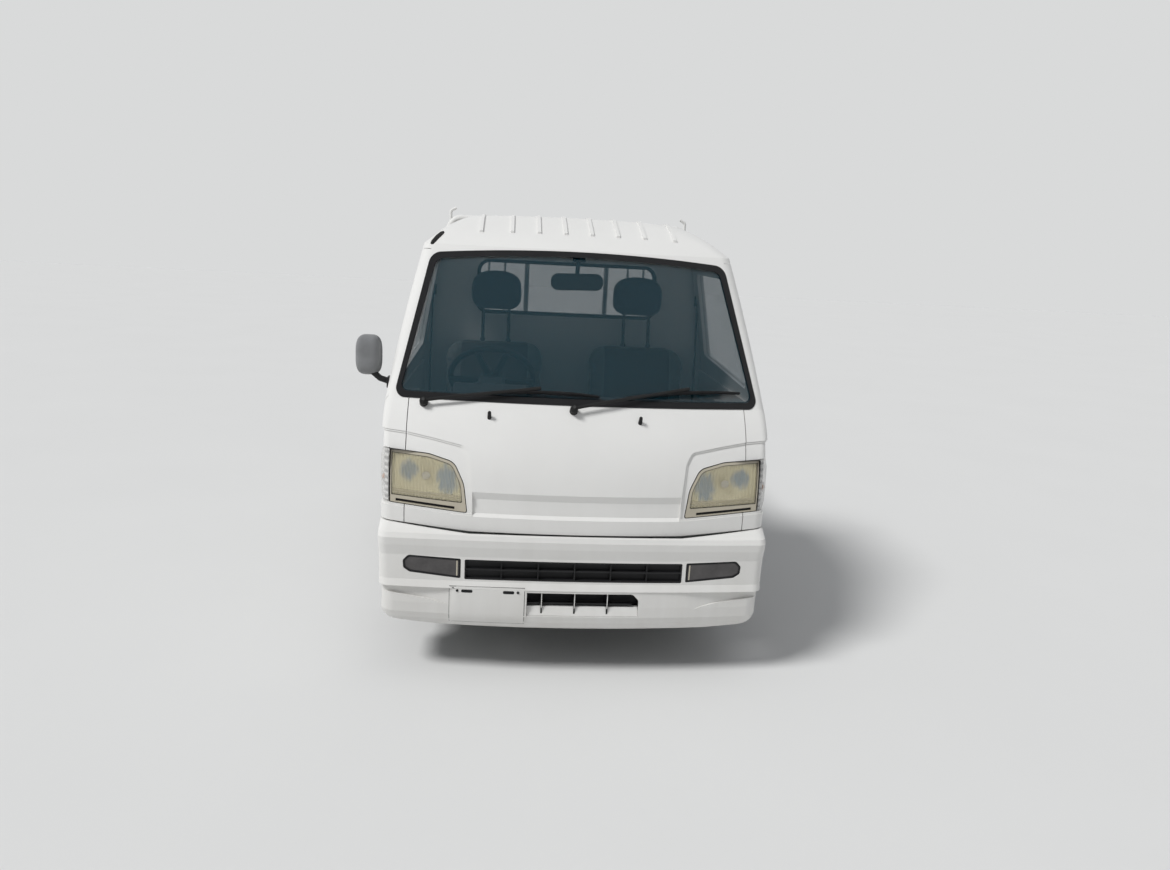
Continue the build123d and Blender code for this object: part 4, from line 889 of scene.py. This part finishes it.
visors = bmesh.new()
for x in (-SEAT_X, SEAT_X):
    block(visors, (x - 190, -1105, 1588), (x + 190, -975, 1604), 7, 3)
add_piece("sun_visors", visors, "chassis", "cab_inner_paint")
belts = bmesh.new()
for side in SIDES:
    tube(belts, [(side * 655, -418, 1380), (side * 664, -412, 1100), (side * 668, -410, 700)], 4, 8)
    block(belts, (side * 662 - 22, -424, 1372), (side * 662 + 22, -402, 1424), 4)
    for x in (side * 190, side * 500):
        block(belts, (x - 14, -620, 786), (x + 14, -560, 836), 4)
add_piece("seat_belts", belts, "chassis", "seal_rubber")
mirror_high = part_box("room_mirror")[1]
back = mirror_high[1] * MM
top = mirror_high[2] * MM
foot = bmesh.new()
block(foot, (-26, back - 42, top - 30), (26, back - 4, top - 4), 6, 3)
add_piece("room_mirror_foot", foot, "chassis", "black_plastic")
mats = bmesh.new()
for x in (-400, 400):
    block(mats, (x - 200, -1470, 411.5), (x + 200, -1215, 416), 2)
add_piece("floor_mats", mats, "chassis", "seal_rubber")


# Wipers: arms on their pivots with bolts, and blades with rubber, spine and links

# Pivot, joint of arm and blade, blade ends; the last three as x, z
WIPERS = (
    ((-585, -1516, 1036), (-149, 1096), (-344, 1079), (73, 1081)),
    ((-24, -1562, 1034), (420, 1110), (174, 1080), (629, 1104)),
)
BLADE_STEPS = 12
# Steps along the blade at which a link joins rubber and spine
LINKS = (2, 4, 8, 10)
glass_skin = surface_of("windscreen", "window_seals")


def on_glass(x, z, clear):
    """Point clear of the windscreen, in mm."""
    y = front_y(glass_skin, x, z)
    return Vector((x, y - clear * 0.85, z + clear * 0.5))


arms = bmesh.new()
blades = bmesh.new()
bolts = bmesh.new()
for (x, y, z), joint, near, far in WIPERS:
    bar(arms, (x, y + 24, z - 18), (x, y - 22, z + 12), 17, 24, 15)
    ball(arms, (x, y - 20, z + 11), 15)
    bar(bolts, (x, y - 33, z + 19), (x, y - 37, z + 22), 6, 6)
    top = on_glass(*joint, 30)
    start = Vector((x, y - 22, z + 14))
    tube(arms, [start, start.lerp(top, 0.3) + Vector((0, -4, 3)), start.lerp(top, 0.8), top], 6.5, 10)
    sag = joint[1] - 10 - (near[1] + far[1]) / 2
    rubber, spine = [], []
    for i in range(BLADE_STEPS + 1):
        along = i / BLADE_STEPS
        bow = 4 * along * (1 - along)
        at_x = near[0] + (far[0] - near[0]) * along
        at_z = near[1] + (far[1] - near[1]) * along + bow * sag
        rubber.append(on_glass(at_x, at_z, 5))
        spine.append(on_glass(at_x, at_z, 10 + 14 * bow))
    tube(blades, rubber, 4, 8)
    tube(blades, spine, 4.5, 8)
    for i in LINKS:
        bar(blades, rubber[i], spine[i], 4, 8)
add_piece("wiper_arms", arms, "chassis", "wiper_black", node="wipers")
add_piece("wiper_blades", blades, "chassis", "seal_rubber", node="wipers")
add_piece("wiper_bolts", bolts, "chassis", "chassis_black", node="wipers")


# Plate rest on the bumper: bare plate with a painted shade line round it, bracket slots and screws

# x from and to, z from and to
PLATE = (-466, -186, 226, 373)
PLATE_SHADE_LINE = (-468, -184, 224, 375)
BRACKET_SLOTS = ((-422, -380, 350, 362), (-266, -224, 350, 362))
SCREWS_X = (-437, -210)
SCREWS_Z = 357

shell = surface_of("bumper")
rest = sheet(bmesh.new(), [oblong(*PLATE)], shell, -2.0, 3.2)
add_piece("plate_rest", rest, "chassis", "bumper_paint")
# Dark rim just outside the plate: painted shade along the step at the plate's edge
rest_shade_line = sheet(bmesh.new(), [oblong(*PLATE_SHADE_LINE)], shell, -0.5, 1.5)
add_piece("plate_rest_shade_line", rest_shade_line, "chassis", "chassis_black")
holes = bmesh.new()
for hole in BRACKET_SLOTS:
    sheet(holes, [oblong(*hole, 5)], shell, -2.4, 1.5)
for x in SCREWS_X:
    y = front_y(shell, x, SCREWS_Z)
    bar(holes, (x, y + 1, SCREWS_Z), (x, y - 4.2, SCREWS_Z), 5, 16)
add_piece("plate_bracket_holes", holes, "chassis", "seal_rubber")


# Lower intake: pale sloping sill in the mouth and pale edges on the three dividers

INTAKE_X = (-175, 249)
# Foot of the sill, its upper edge, and the mouth's upper edge
FLOOR_Z, SILL_Z, ROOF_Z = 263, 298, 354
DIVIDERS = (-120, 5, 130)
SILL_STEPS = 8
# z below and above the mouth between which the face is carried on
CHIN_Z = (256, 362)


def chin_face(x, z):
    """The bumper's face carried on across the mouth of the lower intake, in mm."""
    low, high = CHIN_Z
    below, above = (front_y(shell, x, at) for at in CHIN_Z)
    return below + (above - below) * (z - low) / (high - low)


sill_rows = []
for i in range(SILL_STEPS + 1):
    x = INTAKE_X[0] + (INTAKE_X[1] - INTAKE_X[0]) * i / SILL_STEPS
    low, high = chin_face(x, FLOOR_Z), chin_face(x, SILL_Z)
    sill_rows.append([(x, low + 3, FLOOR_Z), (x, high + 12, SILL_Z), (x, high + 30, SILL_Z),
                      (x, low + 30, FLOOR_Z)])
sill = bmesh.new()
loft(sill, sill_rows)
add_piece("intake_sill", sill, "chassis", "bumper_paint")
edges = bmesh.new()
for x in DIVIDERS:
    rows = []
    for z in (SILL_Z - 4, ROOF_Z):
        y = chin_face(x, z)
        rows.append([(x - 1.5, y + 4, z), (x + 1.5, y + 4, z), (x + 1.5, y + 9, z), (x - 1.5, y + 9, z)])
    loft(edges, rows)
add_piece("intake_dividers", edges, "chassis", "bumper_paint")


# Bumper lamps: dark rims and pale inner ends

BUMPER_LAMP_RIM = [(427, 403, 6), (427, 479, 6), (621, 487, 20), (641, 465, 12), (639, 437, 14),
                   (616, 421, 12)]
BUMPER_LAMP_LENS = [(434, 410, 5), (434, 472, 5), (617, 480, 16), (634, 463, 9), (632, 440, 11),
                    (612, 428, 9)]

lamp_rims = bmesh.new()
lamp_ends = bmesh.new()
lens_skin = surface_of("bumper_lamps")
for side in SIDES:
    outer, inner = (rounded(flip(points, side)) for points in (BUMPER_LAMP_RIM, BUMPER_LAMP_LENS))
    sheet(lamp_rims, [outer, inner], lens_skin, -1.2, 3)
    sheet(lamp_ends, [oblong(side * 438, side * 443, 412, 471)], lens_skin, -0.8, 2)
add_piece("bumper_lamp_rims", lamp_rims, "chassis", "seal_rubber")
add_piece("bumper_lamp_ends", lamp_ends, "chassis", "lamp_frame")


# Tail lamps: red, orange and clear windows in a dark surround

# x from and to, y from and to against the lamps' back face, z from and to, edge rounding, slot
TAIL_LAMPS = {
    "tail_red": ((608, 676), (-20, 0), (479, 566), 4, "tail_lens"),
    "tail_orange": ((560, 604), (-20, 0), (479, 566), 4, "orange_lens"),
    "tail_clear": ((522, 556), (-20, 0), (479, 566), 4, "clear_lens"),
    "tail_surround": ((517, 681), (-38, -6), (472, 573), 6, "black_plastic"),
}
rear_y = max(vert.co.y for vert in nodes["tail_lamps"].data.vertices) * MM
for name, (xs, (y0, y1), zs, bevel, slot) in TAIL_LAMPS.items():
    shape = bmesh.new()
    for side in SIDES:
        side_block(shape, side, xs, (rear_y + y0, rear_y + y1), zs, bevel)
    add_piece(name, shape, "chassis", slot, node="tail_lamps")


# Door mirror: rounded housing, arm with foot and rim, glass in the back

MIRROR_X, MIRROR_Z = -818, 1184

housing = bmesh.new()
pebble(housing, (MIRROR_X, -1312, MIRROR_Z), (50, 62, 78), -1312)
add_piece("mirror_housing", housing, "door_right", "mirror_plastic", node="door_mirror")
arm = bmesh.new()
pebble(arm, (MIRROR_X, -1311, MIRROR_Z), (49, 6, 77), -1305)
tube(arm, [(-800, -1345, 1120), (-772, -1345, 1096), (-734, -1345, 1084)], 12, 14)
block(arm, (-744, -1372, 1062), (-733, -1318, 1104), 3)
add_piece("mirror_arm", arm, "door_right", "black_plastic", node="door_mirror")
pane = bmesh.new()
pebble(pane, (MIRROR_X, -1306, MIRROR_Z), (43, 1, 70), -1305)
add_piece("mirror_glass", pane, "door_right", "bright_metal", node="door_mirror")


# Gates: latch levers and hinge screws

SIDE_FACE = 727.5
TAIL_FACE = 1687.5
SIDE_LEVERS_Y = (-223, 1585)
SIDE_HINGES_Y = (-150, 400, 860, 1510)
TAIL_LEVERS_X = (-671, 671)
TAIL_HINGES_X = (-520, -180, 180, 520)
HINGE_SCREWS_Z = (672, 700)

for side, name in SIDES.items():
    levers = bmesh.new()
    for y in SIDE_LEVERS_Y:
        side_block(levers, side, (SIDE_FACE + 2, SIDE_FACE + 9), (y - 9, y + 9), (846, 922), 3)
    for y in SIDE_HINGES_Y:
        for z in HINGE_SCREWS_Z:
            bar(levers, (side * (SIDE_FACE + 4), y, z), (side * (SIDE_FACE + 8), y, z), 6, 6)
    add_piece(f"gate_levers_{name}", levers, f"gate_{name}", "chassis_black")
levers = bmesh.new()
for x in TAIL_LEVERS_X:
    block(levers, (x - 24, TAIL_FACE + 2, 884), (x + 24, TAIL_FACE + 9, 902), 3)
for x in TAIL_HINGES_X:
    for z in HINGE_SCREWS_Z:
        bar(levers, (x, TAIL_FACE + 4, z), (x, TAIL_FACE + 8, z), 6, 6)
add_piece("tail_gate_levers", levers, "tail_gate", "chassis_black")


# Wheels: tyres with grooved tread, valves and nuts, which turn with their wheel

TYRE_R = 272.0
TYRE_STEPS = 240
TYRE_SMOOTH = 28
# Middles of the grooves round the tread, their half width at the top and the bottom, radius at the bottom
GROOVES = (30, 10, -10, -30)
GROOVE_HALF = (3.5, 2.6)
GROOVE_R = 265
# One side of the tyre from the bead to the shoulder, and its inside, as distance across and radius
TYRE_WALL = [(53.3, 156.8), (56.5, 168.7), (62, 169.2), (68, 174.8), (71, 190), (72.3, 205), (72.3, 214),
             (71.6, 221), (70.2, 223), (70.2, 226), (71, 228), (68, 246), (64, 259), (60, 264.8), (54, 268.8),
             (46, 271.4)]
TYRE_INSIDE = [(-38.5, 156.8), (-44, 176), (0, 205), (44, 176), (38.5, 156.8)]
NUT_COUNT = 4
NUT_CIRCLE = 57
WHEELS = {
    "front_left": (652, -857.5),
    "front_right": (-652, -857.5),
    "rear_left": (650, 1042.5),
    "rear_right": (-650, 1042.5),
}
SPARE_AT = (0, 1360, 452)


def cross_cut(step, across, radius):
    """Depth of the cross cuts in the tread: deep in the outer blocks, shallow in the middle ones."""
    if radius > 264 and 33 < abs(across) < 61 and step % 4 == 0:
        return 5.0
    if radius == TYRE_R and abs(across) < 27 and step % 6 == 0:
        return 2.5
    return 0.0


def tyre(name, centre, axis, body, node):
    """Tyre about an axis: plain walls, four grooves round the tread and cross cuts in its blocks."""
    top, bottom = GROOVE_HALF
    tread = []
    for at in GROOVES:
        tread += [(at + top, TYRE_R), (at + bottom, GROOVE_R), (at - bottom, GROOVE_R), (at - top, TYRE_R)]
    far_wall = [(-across, radius) for across, radius in reversed(TYRE_WALL)]
    shape = bmesh.new()
    lathe(shape, TYRE_WALL + tread + far_wall + TYRE_INSIDE, centre, axis, TYRE_STEPS, cross_cut)
    add_piece(name, shape, body, "tyre_rubber", TYRE_SMOOTH, node)


for name, (x, y) in WHEELS.items():
    side = 1 if x > 0 else -1
    body = f"wheel_{name}"
    tyre(f"tread_{name}", (x, y, TYRE_R), (side, 0, 0), body, f"tyre_{name}")
    valve = bmesh.new()
    bar(valve, (x + side * 30, y, TYRE_R + 142), (x + side * 52, y, TYRE_R + 134), 4, 10, 3)
    for k in range(NUT_COUNT):
        angle = math.pi / 4 + 2 * math.pi * k / NUT_COUNT
        at = (y + NUT_CIRCLE * math.cos(angle), TYRE_R + NUT_CIRCLE * math.sin(angle))
        bar(valve, (x + side * 50, *at), (x + side * 57, *at), 5, 12)
    add_piece(f"valve_{name}", valve, body, "bright_metal")
tyre("tread_spare", SPARE_AT, (0, 0, 1), "chassis", "spare_tyre")


# Stage, light and camera

FLOOR_HALF = 30
# Colour of the surroundings at the horizon and high up, and of the plain backdrop that the camera sees
HORIZON = (0.275, 0.28, 0.29)
ZENITH = (0.345, 0.355, 0.37)
BACKDROP = (0.694, 0.701, 0.701, 1)
# Direction in which the key light shines, its strength and its width in degrees
KEY_LINE = (0.70, 0.40, -0.95)
KEY_ENERGY = 2.55
KEY_ANGLE = 16
# Camera: place in metres, then heading, tilt and roll in degrees
CAMERA_AT = (-0.2642, -4.7885, 1.6403)
HEADING, TILT, ROLL = -5.088, 77.842, 3.000
LENS = 26.95

floor_mesh = bpy.data.meshes.new("floor")
corners = [(-1, -1), (1, -1), (1, 1), (-1, 1)]
floor_mesh.from_pydata([(x * FLOOR_HALF, y * FLOOR_HALF, 0) for x, y in corners], [], [(0, 1, 2, 3)])
floor_mesh.materials.append(solid("floor_paint", (0.74, 0.74, 0.73), 0.9, spread=0.01, scale=1.0))
floor = bpy.data.objects.new("floor", floor_mesh)
bpy.context.scene.collection.objects.link(floor)

world = bpy.data.worlds.new("studio")
bpy.context.scene.world = world
world.use_nodes = True
tree = world.node_tree
around = tree.nodes["Background"]
around.inputs["Strength"].default_value = 1.0
sky = ramp(tree, coordinate(tree, "Z", "Generated"), 0.0, 0.9, HORIZON, ZENITH)
feed(tree, around.inputs["Color"], sky)
seen = tree.nodes.new("ShaderNodeBackground")
seen.inputs["Color"].default_value = BACKDROP
seen.inputs["Strength"].default_value = 1.0
path = tree.nodes.new("ShaderNodeLightPath")
through = calc(tree, "MAXIMUM", path.outputs["Is Camera Ray"], path.outputs["Is Transmission Ray"])
plain_rays = calc(tree, "MAXIMUM", through, path.outputs["Is Glossy Ray"])
mix = tree.nodes.new("ShaderNodeMixShader")
tree.links.new(plain_rays, mix.inputs[0])
tree.links.new(around.outputs[0], mix.inputs[1])
tree.links.new(seen.outputs[0], mix.inputs[2])
tree.links.new(mix.outputs[0], tree.nodes["World Output"].inputs["Surface"])

key_data = bpy.data.lights.new("key", "SUN")
key_data.energy = KEY_ENERGY
key_data.angle = math.radians(KEY_ANGLE)
key = bpy.data.objects.new("key", key_data)
key.rotation_euler = Vector(KEY_LINE).to_track_quat("-Z", "Y").to_euler()
key.visible_glossy = False
bpy.context.scene.collection.objects.link(key)

camera_data = bpy.data.cameras.new("camera")
camera_data.sensor_fit = "HORIZONTAL"
camera_data.sensor_width = 36.0
camera_data.lens = LENS
camera = bpy.data.objects.new("camera", camera_data)
turn = Matrix.Identity(4)
for angle, axis in ((HEADING, "Z"), (TILT, "X"), (ROLL, "Z")):
    turn = turn @ Matrix.Rotation(math.radians(angle), 4, axis)
camera.matrix_world = Matrix.Translation(CAMERA_AT) @ turn
bpy.context.scene.collection.objects.link(camera)
bpy.context.scene.camera = camera
bpy.context.scene.view_settings.view_transform = "Standard"

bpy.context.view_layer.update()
